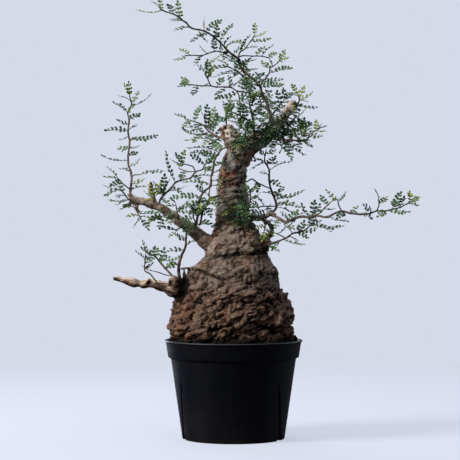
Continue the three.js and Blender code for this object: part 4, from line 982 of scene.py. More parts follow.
# Painted light: the bark of the bend, which leans into the light, is painted paler.
painted_light_on_bend = turned_into(x, "bend right of") * turned_into(z, "bend above")
gap = (z - PEELING["height"] - PEELING["slope"] * x) / PEELING["spread"]
peeling = np.exp(-gap ** 2) * smooth_step(layered(wood_points + 30, 9, 2), -0.5, 0.1)
knob_edge = turned_into(x, "knob left of") * turned_into(z, "knob above")
# The painted light of the trunk holds the highlight and the paler bend.
add_values(
    wood, openness=openness, trunk=on_trunk, arm=on_arm, dead=on_dead, sawn=sawn, moss=moss,
    rubbed=on_trunk * np.maximum(rubbed, 0.5 * painted_light_on_bend),
    peeling=on_trunk * np.maximum(peeling, 0.8 * knob_edge),
)
print("moss on", (moss > 0.5).sum(), "points, bare wood on", (sawn > 0.5).sum())

# %% [markdown]
# The colour of bark is mostly a matter of depth. Crevices hold dark old cork and painted shade, and the tops
# of the lumps are painted lighter. Over that lie patches: tan and reddish brown low on the stem, a grey-green
# bloom of algae on its calm upper part, a redder trunk, dead wood bleached to a pale tan, and painted light
# on the trunk.

# %% The bark
bark, tree, place = new_material("corky bark")
share = {
    name: add_node(tree, "Attribute", attribute_name=name).outputs["Fac"]
    for name in ("openness", "trunk", "peeling", "rubbed", "arm", "dead", "sawn", "moss")
}
sideways = add_node(tree, "SeparateXYZ", {0: place}).outputs["X"]
up = add_node(tree, "SeparateXYZ", {0: place}).outputs["Z"]
# Patches of colour are 40 mm wide.
patch = add_node(tree, "TexNoise", {"Vector": place, "Scale": 26.0, "Detail": 5.0, "Roughness": 0.6})
# Corky warts are 4 mm wide and half as high, with finer ones on them and specks of 1 mm. They are the
# absolute value of a noise, so they have sharp dark seams.
flat_space = add_node(tree, "Mapping", {"Vector": place, "Rotation": (0, 0.33, 0), "Scale": (1, 1, 2.0)})
wart_noise = add_node(tree, "TexNoise", {
    "Vector": flat_space, "Scale": 270.0, "Detail": 6.0, "Roughness": 0.72, "Distortion": 0.5,
})
wart_signed = add_node(tree, "Math", {0: wart_noise, 1: 4.4, 2: -2.2}, operation="MULTIPLY_ADD")
warts = add_node(tree, "Math", {0: wart_signed}, operation="ABSOLUTE")
speck = add_node(tree, "TexNoise", {"Vector": place, "Scale": 900.0, "Detail": 3.0, "Roughness": 0.7})
# Dead wood has lost its bark, so its colour runs in fibres along the branch, 1.6 mm wide and 13 mm long.
long_space = add_node(tree, "Mapping", {"Vector": place, "Scale": (0.12, 1, 1)})
grain = add_node(tree, "TexNoise", {"Vector": long_space, "Scale": 620.0, "Detail": 4.0})

# %% [markdown]
# How light a place is starts from its openness. Textures finer than the mesh are added to it, each times
# one number plus another.

# %% How light each kind of bark is
light = {}
for name, terms in {
    "bark": [(warts, 0.86, -0.345), (speck, 0.9, -0.45)], "arm": [(warts, 0.35, -0.14)],
    "dead": [(grain, 1.2, -0.6)],
}.items():
    light[name] = share["openness"]
    for texture, factor, offset in terms:
        term = add_node(tree, "Math", {0: texture, 1: factor, 2: offset}, operation="MULTIPLY_ADD")
        light[name] = add_node(tree, "Math", {0: light[name], 1: term}, operation="ADD")
print("kinds of light:", len(light))

# %% [markdown]
# Each kind of bark has its own row of colours, as they show on the plant. The first stands in its
# crevices and the last on its tops.

# %% The colours of each kind of bark
color = {}
for name, fed, stops in [
    ("low", light["bark"], [
        (0.14, "#0b0705"), (0.34, "#291b13"), (0.56, "#5c4232"), (0.78, "#9a775f"), (1.0, "#dcc2ac"),
    ]),
    ("low red", light["bark"], [(0.14, "#0b0503"), (0.36, "#2f1b12"), (0.62, "#6e4531"), (1.0, "#c99a7f")]),
    ("upper", light["bark"], [
        (0.12, "#18110b"), (0.31, "#584538"), (0.52, "#9b8575"), (0.74, "#cab8a7"), (0.95, "#ede3d8"),
    ]),
    ("upper red", light["bark"], [
        (0.12, "#190d08"), (0.36, "#633f2f"), (0.62, "#a0755f"), (1.0, "#cfae98"),
    ]),
    ("algae", light["bark"], [(0.14, "#181711"), (0.36, "#525145"), (0.64, "#8c8b7b"), (0.98, "#bcbaa8")]),
    ("trunk", light["bark"], [
        (0.12, "#1a140e"), (0.27, "#615548"), (0.42, "#a99b8c"), (0.6, "#ddd4c8"), (0.85, "#fbf8f4"),
    ]),
    ("rusty", light["bark"], [(0.12, "#210f08"), (0.36, "#7c452d"), (0.62, "#c38a69"), (1.0, "#e6cbb4")]),
    # The painted highlight and painted light of the trunk, near white.
    ("rubbed", light["bark"], [(0.05, "#b8a392"), (0.3, "#f0e4d8"), (0.6, "#fffaf4")]),
    ("arm", light["arm"], [(0.2, "#43362b"), (0.45, "#8a7869"), (0.66, "#bda99a"), (0.95, "#e0d2c4")]),
    ("dead", light["dead"], [(0.12, "#160e0a"), (0.36, "#5f483b"), (0.62, "#b39887"), (0.95, "#ead8ca")]),
    ("sawn", patch, [(0.35, "#cfb7a8"), (0.6, "#f2e4d8")]),
    ("moss", warts, [(0.1, "#6a6f4b"), (0.8, "#bdbd92")]),
]:
    color[name] = add_node(tree, "ValToRGB", {"Fac": fed}, stops=stops)
print("rows of colours:", len(color))

# %% [markdown]
# The kinds are laid over each other like coats of paint, each with its share. Some shares are stored in
# the mesh, and others follow a height, a side or a noise.

# %% The colours laid over each other
# The left shoulder is warmer, and the bloom of algae stays off it.
left_side = add_node(tree, "MapRange", {"Value": sideways, 1: -0.014, 2: -0.038, 3: 0.0, 4: 0.09})
warm_patch = add_node(tree, "Math", {0: patch, 1: left_side}, operation="ADD")
red_share = add_node(tree, "MapRange", {"Value": warm_patch, 1: 0.46, 2: 0.62, 3: 0.0, 4: 0.85})
upper = add_node(tree, "MapRange", {"Value": up, 1: 0.150, 2: 0.182, 3: 0.0, 4: 1.0})
below_crease = add_node(tree, "MapRange", {"Value": up, 1: 0.207, 2: 0.198, 3: 0.6, 4: 1.0})
not_left = add_node(tree, "MapRange", {"Value": sideways, 1: -0.038, 2: -0.014, 3: 0.12, 4: 1.0})
# The algae grow in spots of 20 mm.
bloom = add_node(tree, "TexNoise", {"Vector": place, "Scale": 48.0, "Detail": 6.0, "Roughness": 0.6})
algae_share = add_node(tree, "MapRange", {"Value": bloom, 1: 0.46, 2: 0.62, 3: 0.0, 4: 0.55})
for limit in (upper, below_crease, not_left):
    algae_share = add_node(tree, "Math", {0: algae_share, 1: limit}, operation="MULTIPLY")
# A painted highlight shows whitish on the trunk, and painted light pales its bend. Where it peels, the fresh
# bark under it is rusty.
for name, amount, under, over in [
    ("low", red_share, "low", "low red"), ("upper", red_share, "upper", "upper red"),
    ("trunk", red_share, "trunk", "upper red"), ("trunk", share["peeling"], "trunk", "rusty"),
    ("trunk", share["rubbed"], "trunk", "rubbed"), ("stem", upper, "low", "upper"),
    ("stem", algae_share, "stem", "algae"), ("all", share["trunk"], "stem", "trunk"),
    ("all", share["arm"], "all", "arm"), ("all", share["dead"], "all", "dead"),
    ("all", share["sawn"], "all", "sawn"), ("all", share["moss"], "all", "moss"),
]:
    color[name] = add_node(tree, "Mix", {0: amount, 6: color[under], 7: color[over]}, data_type="RGBA")
# Bare and dead wood is smoother than bark, so the warts fade there.
half_arm = add_node(tree, "Math", {0: share["arm"], 1: 0.65}, operation="MULTIPLY")
smoother = add_node(tree, "Math", {0: share["sawn"], 1: share["dead"]}, operation="MAXIMUM")
smoother = add_node(tree, "Math", {0: smoother, 1: half_arm}, operation="MAXIMUM")
wart_share = add_node(tree, "Math", {0: smoother, 1: -0.8, 2: 0.95}, operation="MULTIPLY_ADD")
fine_bump = add_node(tree, "Bump", {"Height": speck, "Strength": 0.7, "Distance": 0.0006})
wart_bump = add_node(tree, "Bump", {
    "Height": warts, "Strength": wart_share, "Distance": 0.0024, "Normal": fine_bump,
})
bark_shader = add_node(tree, "BsdfPrincipled", {
    "Base Color": color["all"], "Roughness": 0.86, "Normal": wart_bump, "Specular IOR Level": 0.3,
})
add_node(tree, "OutputMaterial", {"Surface": bark_shader})
wood.data.materials.clear()
wood.data.materials.append(bark)
settle(wood, "wood")
print("nodes of the bark:", len(tree.nodes))

# %% [markdown]
# Twigs and leaves are placed from the front. A leafy stem is its spread in depth, its twigs and its leaves.
# A twig is its radius at the base and at the tip, and then three numbers for each point that it passes: a
# pixel across, a pixel down and a depth in millimetres behind the trunk. A leaf is its root and its tip as
# pixels, and how far it leans away. The depths are chosen so that the crown is round.
# The crown is so dense that its leaves hide each other. The last leaves of a list lie in front of the
# others: over the bent part of the trunk, over the left arm and its spurs, and along the leader.

# %% The leader, and the shoot on the sawn stub
STEMS = {}
STEMS["leader"] = (2.6, [
    [1.8, 0.65, 272, 129, 3, 271, 119, 3, 268, 110, 4, 266, 101, 6, 262, 93, 8, 261, 88, 10, 258, 84, 11,
     251, 77, 13, 244, 72, 15, 241, 67, 16, 239, 60, 16, 234, 56, 15, 228, 51, 14, 220, 42, 10, 212, 36.5, 6,
     205, 31, 2, 192, 28, -3, 186, 22.5, -6, 180, 18, -8, 174, 13.5, -10, 166, 11.5, -11, 159, 9, -12],
    [0.8, 0.6, 229, 53, 14, 222, 52, 11, 215, 51, 8, 208, 53.5, 5, 202, 55.5, 2, 190, 55.5, -2, 184, 56, -4],
    [0.8, 0.6, 239, 58, 16, 240, 53, 17, 244, 50, 19, 249, 44, 21, 253, 38, 22, 255, 35, 22],
    [0.75, 0.6, 239.5, 57, 16, 244, 56, 18, 252, 56.5, 21, 262, 56, 24, 270, 58, 26],
    [0.85, 0.6, 253, 79, 13, 244, 77, 8, 238, 72, 5, 234, 69, 3, 228, 67, 0, 224, 66, -1],
    [0.85, 0.6, 260, 88, 10, 262, 83, 8, 265, 79, 6, 269, 73, 4, 270, 68, 2, 276, 64, 1, 280, 60, 0],
    [1, 0.6, 264.5, 98, 7, 257, 96, 3, 251, 94, 0, 245, 92, -3, 236, 90.5, -6, 231, 87.5, -8, 217, 87, -10,
     210, 86, -11, 200, 86, -12, 188, 84, -13],
    [0.7, 0.6, 211, 86, -11, 208, 80, -12, 206.5, 75, -13],
    [0.8, 0.6, 237, 91, -6, 239, 98, -8, 240, 104, -10, 240, 110, -11, 241, 118, -12, 241, 124, -12],
], [
    [160, 9.5, 152, 3, -5], [161, 9.8, 160, -0.5, 5], [162, 10.5, 138, 10, 3], [180, 18, 178, 3, 4],
    [191, 28, 176, 31, -5], [205, 31, 204, 21, -4], [206, 31, 220, 21, 6], [208, 34, 192, 42, -6],
    [216, 39, 217, 28, -6], [220, 42, 232, 26, 5], [225, 47, 238, 43, -7], [186, 23, 172, 22, -8],
    [174, 13.5, 168, 5, 6], [198, 30, 206, 40, 8], [213, 37, 224, 34, -5], [229, 53, 206, 70, -6],
    [214, 51, 213, 41, 5], [208, 53, 201, 48, -6], [190, 55.5, 181, 50, 4], [186, 56, 176, 60, -4],
    [202, 55, 196, 64, 6], [220, 52, 224, 44, -7], [240, 52, 250, 37, -4], [255, 35, 255, 25, 3],
    [254, 37, 265, 33, -5], [251, 41, 269, 38, 5], [246, 48, 238, 41, 6], [244, 50, 256, 48, -6],
    [256, 56, 264, 48, 4], [262, 56, 272, 47, -4], [270, 58, 272, 65, 4], [252, 56.5, 246, 66, 6],
    [268, 57, 275, 53, 6], [241, 66, 254, 61, -6], [241, 68, 253, 69, 5], [239, 61, 231, 54, 6],
    [240, 64, 230, 62, -6], [229, 67, 220, 61, 4], [228, 67, 211, 71, -4], [238, 72, 223, 73, 7],
    [241, 75, 213, 78, -5], [235, 70, 232, 59, -5], [243, 77, 233, 85, 5], [248, 78, 240, 86, -6],
    [246, 77.5, 250, 88, -8], [269, 73, 290, 68, 4], [262, 84, 281, 80, -4], [261, 87, 282, 85, 5],
    [267, 76, 255, 75, -5], [280, 60, 284, 52, -2], [278, 62, 287, 58, 4], [270, 68, 263, 62, 5],
    [264, 80, 256, 84, -6], [188, 84, 183, 79, 3], [190, 84, 180, 87, -4], [202, 86, 207, 84, -6],
    [197, 86, 193, 93, 6], [208, 80, 207, 61, 3], [207, 77, 199, 67, -5], [207, 77, 214, 66, 5],
    [231, 87.5, 228, 78, -4], [244, 92, 245, 81, -5], [217, 87, 222, 79, 6], [251, 94, 247, 84, 7],
    [225, 87, 217, 94, -5], [237, 92, 218, 98, -5], [239, 98, 250, 103, -5], [239, 96, 250, 96, 6],
    [240, 107, 229, 106, -5], [240, 103, 247, 110, 6], [241, 118, 252, 124, -4], [240, 112, 251, 113, -7],
    [241, 121, 230, 121, 5], [241, 118, 231, 116, -6], [241, 123, 236, 131, -6], [240, 101, 231, 102, 5],
    [268, 110, 259, 104, -8], [268, 108, 277, 102, 8], [262, 93, 254, 99, -7], [263, 95, 270, 92, 6],
    [258, 84, 250, 83, -8], [266, 101, 257, 107, 8], [239, 60, 245, 67, -4], [240, 63, 235, 73, -5],
    [241, 67, 249, 74, -6], [242, 70, 232, 77, 4], [244, 72, 255, 70, -5], [246, 74, 243, 85, -6],
    [249, 76, 259, 79, -5], [252, 78, 247, 88, -4], [255, 81, 262, 74, 5], [257, 84, 251, 92, -5],
    [241, 66, 248, 60, 4], [238, 58, 229, 61, -4], [233, 55, 240, 49, -5], [229, 51, 224, 59, -5],
    [224, 46, 230, 38, -4], [258, 85, 266, 80, -4],
])
STEMS["stub_end_shoot"] = (4, [
    [1, 0.7, 291, 109, 6, 295, 105.5, 6, 298, 104, 6, 299, 99, 7, 298, 95, 8],
], [
    [298, 96, 292.5, 86, 3], [299, 99, 311, 94, -3], [298, 104, 315, 107, 2], [299, 101, 307, 102, -6],
    [298, 103, 296, 115, -4], [299, 99, 304, 88, 5], [298, 97, 288, 93, 7],
])
print("stems so far:", len(STEMS))

# %% The twigs of the crown
STEMS["crown_right_twig"] = (2.6, [
    [1.2, 0.6, 267, 134, -1, 275, 138, -7, 283, 140, -10, 292, 140, -12, 303, 140, -14, 308, 138, -15,
     310, 134, -16, 315, 131, -17, 318, 130, -18],
], [
    [316, 131, 316, 122, 3], [309, 137, 320, 137, -5], [303, 140, 310, 146, 5], [290, 140, 311, 147, -6],
    [286, 140, 304, 154, 6], [300, 140, 292, 131, -6], [304, 139, 301, 127, 5], [292, 140, 284, 130, -7],
    [279, 139, 272, 149, -6], [284, 140, 288, 152, -5], [278, 139, 262, 145, -8], [310, 134, 300, 134, 6],
    [318, 130, 325, 127, -3], [296, 140, 300, 149, 7], [276, 138.5, 266, 135, -9], [283, 140, 279, 131, 6],
    [272, 137, 257, 139, -10], [275, 138, 290, 125, -6], [279, 139, 296, 130, 4], [272, 137, 283, 126, -7],
    [275, 138, 260, 133, -8], [283, 140, 296, 146, 3], [288, 140, 301, 134, 5], [286, 140, 281, 151, 4],
    [296, 140, 307, 132, -4], [300, 140, 309, 144, -4], [279, 139, 291, 149, 6], [270, 136, 259, 146, -7],
    [283, 140, 270, 147, -6], [292, 140, 285, 132, 5], [272, 137, 266, 127, -6], [268, 134.5, 255, 142, -8],
])
STEMS["crown_front_spray"] = (1.9, [
    [1.3, 0.6, 255, 141, -3, 254, 132, -13, 253, 122, -18, 251, 112, -21, 250, 103, -22, 251, 98, -22],
    [0.8, 0.6, 253, 123, -17.5, 246, 119, -21, 239, 115, -24, 232, 112, -26],
    [0.8, 0.6, 252, 114, -20.5, 258, 108, -20, 262, 103, -19],
    [0.7, 0.5, 254, 133, -12, 262, 129, -14, 272, 124.5, -15, 282, 120, -15],
    [0.7, 0.5, 254, 135, -11, 247, 140, -13, 239, 146, -14],
], [
    [251, 99, 245, 89, -3], [251, 99, 258, 92, 4], [250, 104, 240, 99, -5], [251, 106, 263, 98, -6],
    [252, 117, 266, 114, -6], [253, 124, 268, 124, -4], [253, 126, 241, 129, -6], [251, 110, 241, 107, -5],
    [246, 119, 243, 108, 5], [239, 115, 237, 104, -4], [232, 112, 224, 103, 3], [234, 113, 226, 118, -6],
    [258, 108, 270, 108, -4], [262, 103, 271, 96, 3], [261, 104, 256, 94, -5], [253, 121, 263, 119, 7],
    [254, 130, 264, 134, -6], [254, 129, 246, 134, -4], [248, 120, 251, 129, -5], [242, 117, 240, 125, -4],
    [254, 134, 236, 143, -7], [255, 137, 239, 149, -6], [254, 131, 272, 127, -6], [255, 138, 271, 133, -8],
    [253, 128, 270, 122, -5], [255, 137, 247, 148, -5], [254, 131, 243, 137, -7], [253, 122, 242, 124, -5],
    [251, 112, 261, 111, -6], [253, 118, 263, 107, 4], [250, 103, 258, 100, -4], [252, 114, 243, 113, 6],
    [254, 133, 262, 140, -6], [246, 119, 236, 122, 5], [260, 130, 272, 129, 2], [264, 128, 276, 121, -3],
    [268, 126, 281, 126, 3], [272, 124.5, 284, 116, -2], [276, 122.5, 290, 121, 3], [282, 120, 294, 114, -2],
    [282, 120, 292, 124, 2], [251, 137, 240, 137, 2], [247, 140, 236, 141, -2], [243, 143, 234, 147, 2],
    [239, 146, 230, 141, 3], [249, 138.5, 241, 147, 3], [256, 132, 247, 128, -3], [258, 131, 263, 138, -4],
    [266, 127, 273, 134, -4], [253, 125, 259, 131, -8], [239, 115, 231, 118, 6],
])
STEMS["crown_right_spray"] = (2, [
    [1.1, 0.6, 275, 129, 2, 283, 127, -5, 290, 122, -10, 296, 117, -12],
    [0.8, 0.6, 287, 124.5, -7.5, 295, 129, -12, 303, 129, -14],
], [
    [296, 117, 304, 111, -3], [290, 122, 301, 119, -7], [294, 119, 293, 109, -6], [287, 124, 307, 123, 6],
    [284, 126, 284, 138, -6], [291, 127, 298, 138, -5], [295, 129, 289, 141, 6], [303, 129, 310, 124, 3],
    [303, 129, 312, 132, -4], [298, 129, 306, 137, 5], [287, 124, 280, 116, -6], [282, 127, 274, 121, -7],
    [283, 127, 290, 137, -4], [279, 128, 287, 117, -5], [283, 127, 297, 124, -5], [290, 122, 299, 127, 5],
    [296, 117, 300, 125, 4], [293, 119, 283, 113, -6], [279, 128, 268, 132, -7], [299, 129, 307, 126, 5],
    [303, 129, 304, 120, -4], [276, 129, 270, 120, -6], [287, 124, 292, 133, 7], [275, 129, 284, 134, -6],
])
STEMS["crown_back_spray"] = (2.2, [
    [1.2, 0.6, 266, 134, 5, 268, 124, 15, 273, 114, 20, 279, 106, 22, 284, 101, 23],
], [
    [279, 106, 277, 93, 3], [284, 101, 292, 95, 4], [282, 103, 290, 104, -5], [275, 111, 267, 102, 6],
    [276, 110, 287, 112, 7], [270, 120, 260, 113, 6], [271, 118, 283, 121, 9], [284, 101, 283, 91, -5],
    [269, 122, 260, 127, 8], [268, 125, 278, 131, 9], [273, 114, 263, 108, -4], [271, 118, 262, 121, 5],
    [275, 111, 284, 106, 6], [268, 124, 258, 119, 5], [279, 106, 271, 101, 5], [270, 120, 279, 115, -5],
])
STEMS["knob_left_twig"] = (-2.5, [
    [1.2, 0.6, 228, 136, -6, 219, 137, -9, 213, 136, -10, 207, 134.5, -11, 200, 134, -12, 193, 134, -13],
    [1, 0.6, 218, 136.8, -9, 210, 132, -12, 206, 128.5, -13, 203, 125, -14, 198, 122.5, -15, 192, 121, -16,
     187, 119.5, -17],
    [0.8, 0.6, 221, 137, -8.5, 216, 140, -11, 211, 140, -13],
], [
    [193, 134, 185, 130, -2], [194, 134, 185, 120, 3], [200, 134, 194, 142, -5], [187, 119.5, 177, 115, -2],
    [194, 121.5, 200, 108, 3], [192, 121, 184, 127, -4], [203, 126, 190, 127, 4], [206, 128.5, 207, 107, -2],
    [208, 130, 214, 109, 3], [205, 127, 201, 113, -6], [212, 133, 221, 120, -4], [210, 132, 217, 115, 6],
    [213, 136, 205, 143, -6], [212, 140, 187, 141, -3], [213, 140, 203, 146, -6], [216, 137, 223, 128, -6],
    [200, 124, 197, 131, 7], [216, 140, 211, 148, 5], [216, 137, 207, 138, 6], [207, 134, 199, 128, 5],
    [210, 132, 202, 136, 5], [221, 137, 214, 146, -5],
])
STEMS["knob_top_shoot"] = (3, [
    [1, 0.65, 227, 131, -7, 226, 124, -9, 226, 117, -10, 227, 112, -10],
], [
    [226, 118, 223, 107, -3], [227, 112, 233, 105, 2], [226, 121, 237, 112, -5], [226, 122, 218, 117, 4],
    [226.5, 114, 230, 99, 4], [226, 120, 231, 111, 6],
])
print("stems so far:", len(STEMS))

# %% The twigs of the left arm
STEMS["arm_riser"] = (2, [
    [1.4, 0.6, 196, 226, -8, 198, 212, -12, 199.5, 205, -13, 200, 198, -14, 205, 191, -15, 210, 186, -15,
     211.5, 178, -15, 213, 170, -15, 214, 163, -16, 216, 157, -16, 221, 150, -17, 226, 147, -18,
     231, 143, -19, 236, 138, -20, 242, 132, -21],
    [0.7, 0.6, 210, 186, -15, 209, 193, -17, 209, 199, -18],
    [1.1, 0.7, 200, 225, -9, 203, 211, -14, 206.5, 204, -17, 209.5, 198, -18],
    [0.8, 0.6, 195.5, 225, -9, 193.5, 218, -14, 193, 213, -17],
], [
    [210, 184.5, 185, 183, -3], [200, 197, 172, 198, -4], [200, 200, 182, 208, 4], [201, 197, 206, 208, -6],
    [200, 200, 206, 200, -8], [213, 168, 222, 162, 5], [212, 175, 220, 171, -6], [211, 181, 221, 178, 4],
    [210, 186, 221, 187, -5], [217, 155, 193, 152.5, 5], [219, 152, 189, 148, 6], [215, 159, 203, 153.5, 5],
    [231, 143, 239, 150, -4], [236, 138, 246, 142, -4], [242, 132, 250, 126, 2], [236, 138, 226, 134, -5],
    [222, 149, 215, 144, 4], [205, 191, 197, 187, -5], [213, 172, 206, 168, 5], [209, 199, 203, 208, -3],
    [209, 196, 214, 204, -4], [199, 207, 191, 213, -5], [214, 163, 207, 160, -6], [228, 146, 236, 157, 6],
    [240, 134, 233, 130, 6], [193, 215, 178, 212, -3], [193, 214, 188, 206, -3], [193.2, 216, 196, 203, -2],
    [193.5, 217, 183, 219, -4], [193, 214, 200, 206, -2], [200, 223, 211, 224, -4], [203, 216, 214, 211, -3],
    [201, 221, 214, 227, -5], [205, 207, 198, 213, 3], [200.5, 224, 192, 228, -5],
])
STEMS["arm_long_shoot"] = (-2.2, [
    [1.3, 0.6, 160, 207, -13, 160, 201, -15, 162, 197, -16, 165, 193, -17, 169, 190.5, -18, 172, 187, -19,
     176, 182, -20, 184, 179.5, -21, 190, 178, -21, 193, 175, -22, 197, 171, -22, 202, 170, -22,
     205, 164.5, -22, 211, 161, -23],
    [0.7, 0.6, 196, 172, -22, 193, 167, -21, 188, 165, -20, 181, 164, -19],
    [0.7, 0.6, 196, 171.5, -22, 190, 171.5, -24, 184, 171, -26, 179, 168, -27],
], [
    [176, 182, 166, 153, 0], [179, 168, 184, 153, -2], [182, 164, 177, 156, 3], [181, 164, 172, 160, -3],
    [204, 165, 192, 157, -3], [190, 178, 211, 177, -4], [169, 190.5, 185, 187, -5], [171, 189, 182, 193, 5],
    [162, 197, 164, 177, 2], [163, 196, 155, 184, -3], [165, 193, 157, 190, 4], [164, 195, 170, 181, -5],
    [202, 170, 211, 168, -5], [211, 161, 219, 156, -4], [193, 175, 200, 184, -4], [184, 171, 181, 178, -3],
    [205, 164.5, 213, 158, 3], [161, 199, 168, 203, -4],
])
STEMS["trunk_left_twig"] = (1.3, [
    [0.9, 0.6, 222, 195, -8, 215, 196.5, -17, 210, 199, -20, 207, 204, -21, 205, 209, -22],
], [
    [210, 199, 205, 193, -4], [207, 204, 215, 206, -4], [205, 209, 197, 214, -2], [206, 207, 210, 216, -3],
    [214, 197, 218, 204, -6],
])
STEMS["left_upright_shoot"] = (2, [
    [1.5, 0.6, 134, 199, -9, 131, 196, -9, 130.5, 190, -7, 131, 184, -5, 131.5, 178, -3, 131, 172, 0,
     129, 165, 4, 128, 157, 8, 129, 147, 11, 130, 140, 13, 128, 131, 14, 128.5, 124, 14, 128.5, 118, 13,
     128, 113, 12, 131, 106, 9, 130.5, 101, 7, 130, 95, 5],
    [0.75, 0.6, 131, 189, -7, 125, 186, -9, 121, 181, -10, 118, 178, -11],
    [0.7, 0.6, 131.5, 178, -3, 134, 175, -5, 140, 174.5, -8],
], [
    [130, 95, 129, 83, -2], [130, 97, 124, 85, 3], [131, 106, 151, 95, -3], [128, 113, 114, 104, 3],
    [128, 131, 107, 131, -3], [130, 139, 156, 135.5, 4], [129, 148, 119, 148, 5], [129, 148, 138, 147, -5],
    [130, 142, 139, 139, -6], [128, 160, 103, 156, -3], [140, 174.5, 162, 172.5, -3],
    [121, 181, 106, 177, 3], [118, 178, 108, 169, -2], [120, 180, 112, 186, -4], [131, 184, 143, 180, -4],
    [130.5, 190, 145, 187, 4], [130, 120, 138, 115, 5], [128, 124, 119, 121, -5], [130.5, 101, 121, 97, -5],
    [129, 166, 138, 161, -5], [131, 172, 121, 169, 6], [130, 103, 137, 92, 5], [128, 157, 136, 153, 6],
    [129, 135, 121, 139, 5], [128, 113, 135, 106, -5], [128, 131, 137, 127, -6],
])
STEMS["arm_end_twigs"] = (2.2, [
    [0.9, 0.6, 136, 202, -9, 129, 199, -13, 124, 193, -15, 119, 189, -16],
    [0.8, 0.6, 131, 200, -12, 134, 207, -15, 137, 212, -17, 141, 219, -18],
], [
    [119, 189, 106, 186, -3], [120, 190, 107, 195, 3], [124, 193, 118, 182, 4], [129, 199, 110, 200, -5],
    [130, 200.5, 118, 205, 5], [137, 212, 160, 211, -4], [141, 219, 147, 228, -3], [139, 215, 128, 217, -4],
    [134, 207, 122, 209, 4], [141, 219, 135, 226, 4], [127, 196, 117, 197, -6],
])
STEMS["arm_under_spur_a"] = (2, [
    [0.8, 0.6, 168, 212, -9, 165.5, 215, -13, 162, 216, -16],
], [
    [163, 215, 143, 216, -3], [162, 216, 148, 223, 2], [164, 214, 170, 224, -4], [162, 216, 160, 227, -4],
    [164, 215, 174, 219, -5], [163, 216, 152, 219, -3], [166, 214, 175, 214, -6],
])
STEMS["arm_under_spur_b"] = (2, [
    [0.8, 0.6, 184, 222, -7, 181, 227, -12, 177, 229, -14],
    [0.7, 0.5, 180, 222, -9, 178, 214, -13, 176, 204, -15],
], [
    [177, 229, 164, 227, -2], [179, 228, 170, 236, -4], [181, 227, 188, 235, -4], [177, 209, 191, 199, -3],
    [176, 204, 170, 199, -3], [177.5, 212, 185, 208, -2], [176, 205, 168, 206, -3], [184, 223, 194, 228, -5],
    [182, 225, 191, 224, -5], [182, 226, 188, 232, -3], [179, 220, 171, 217, -5],
])
STEMS["arm_tuft"] = (1, [
    [0.9, 0.65, 153, 205, -10, 154, 200, -16, 154, 195, -17],
], [
    [154, 197, 151, 185, -2], [154, 196, 159, 185, 3], [154, 198, 145, 192, -5], [154, 198, 161, 194, -5],
    [154, 196, 149, 190, 5], [154, 199, 148, 201, -7],
])
print("stems so far:", len(STEMS))

# %% The shoots by the dead branch
STEMS["deadwood_shoot_a"] = (1.8, [
    [1, 0.6, 173, 293, -13, 167, 291, -20, 162, 287, -22, 155, 280, -23, 150, 274, -23, 145, 270, -23,
     144.5, 262, -22, 146, 254, -21],
], [
    [146, 254, 143, 242, -2], [145, 260, 137, 253, -4], [145, 260, 153, 250, 4], [145, 268, 152, 264, -6],
])
STEMS["deadwood_shoot_b"] = (-2.5, [
    [1.5, 0.8, 179, 282, -9, 174, 277, -12, 170, 273, -14, 165, 268, -15, 160, 262, -16, 156, 257, -16,
     152, 254.5, -16],
    [0.7, 0.6, 173, 276, -12.5, 166, 275, -17, 160, 273, -18, 154, 271, -19],
], [
    [161, 263, 164, 250, 2], [159, 261, 168, 258, -5], [152, 254.5, 143, 249, -2],
    [155, 256.5, 147, 262, -4], [157, 258, 155, 248, 4], [154, 271, 143, 267, -2], [165, 268, 174, 264, -5],
])
STEMS["deadwood_shoot_c"] = (3, [
    [1.9, 1.1, 183, 285, -6, 179.5, 274, -6, 179.5, 264, -5, 181, 257, -4, 184, 250, -3, 186, 245, -2,
     186, 238, -1, 187, 229, 1],
], [
    [186, 245, 201, 241, -4], [184, 250, 170, 251, -3], [181, 257, 167, 260, 4], [180, 264, 168, 268, -4],
    [186, 238, 177, 236, -4], [187, 230, 181, 223, -2], [187, 233, 196, 229, 4],
])
print("stems so far:", len(STEMS))

# %% The twigs in front and on the right
STEMS["right_riser"] = (-3, [
    [1.4, 0.6, 270.5, 214, -4, 275.5, 209, -8, 276, 204, -9, 274, 196, -10, 271, 189, -10, 269.5, 180, -10,
     269, 171, -9, 267, 166, -8, 264.5, 161, -7, 266, 154, -6, 267, 149, -5],
    [0.9, 0.7, 242, 184, -6, 248, 181, -10, 253, 179.5, -11, 257, 182.5, -11, 263, 185, -11, 270, 189, -10],
    [0.7, 0.6, 275, 206.5, -8.5, 268, 206, -10, 262, 206.5, -11, 257, 208, -11],
], [
    [269, 171, 290, 162, -3], [266, 163, 276, 162, 5], [264.5, 161, 250, 161, -4], [265, 163, 253, 169, 4],
    [270, 180, 279, 186, -4], [273, 195, 264, 193, 4], [274, 198, 303, 191, -4], [275, 201, 291, 197, 5],
    [276, 204, 298, 207, -4], [275.5, 207, 289, 212, 5], [276, 205, 287, 202, -8], [274, 197, 283, 188, 6],
    [264, 206, 259, 200, -5], [259, 207, 252, 203, -5], [267, 206, 271, 214, -6], [269.5, 176, 262, 173, -6],
    [267, 165, 275, 158, 6], [266, 155, 259, 151, -4], [266, 154, 275, 150, 5], [257, 182.5, 257, 190, -4],
    [271, 190, 279, 195, -6],
])
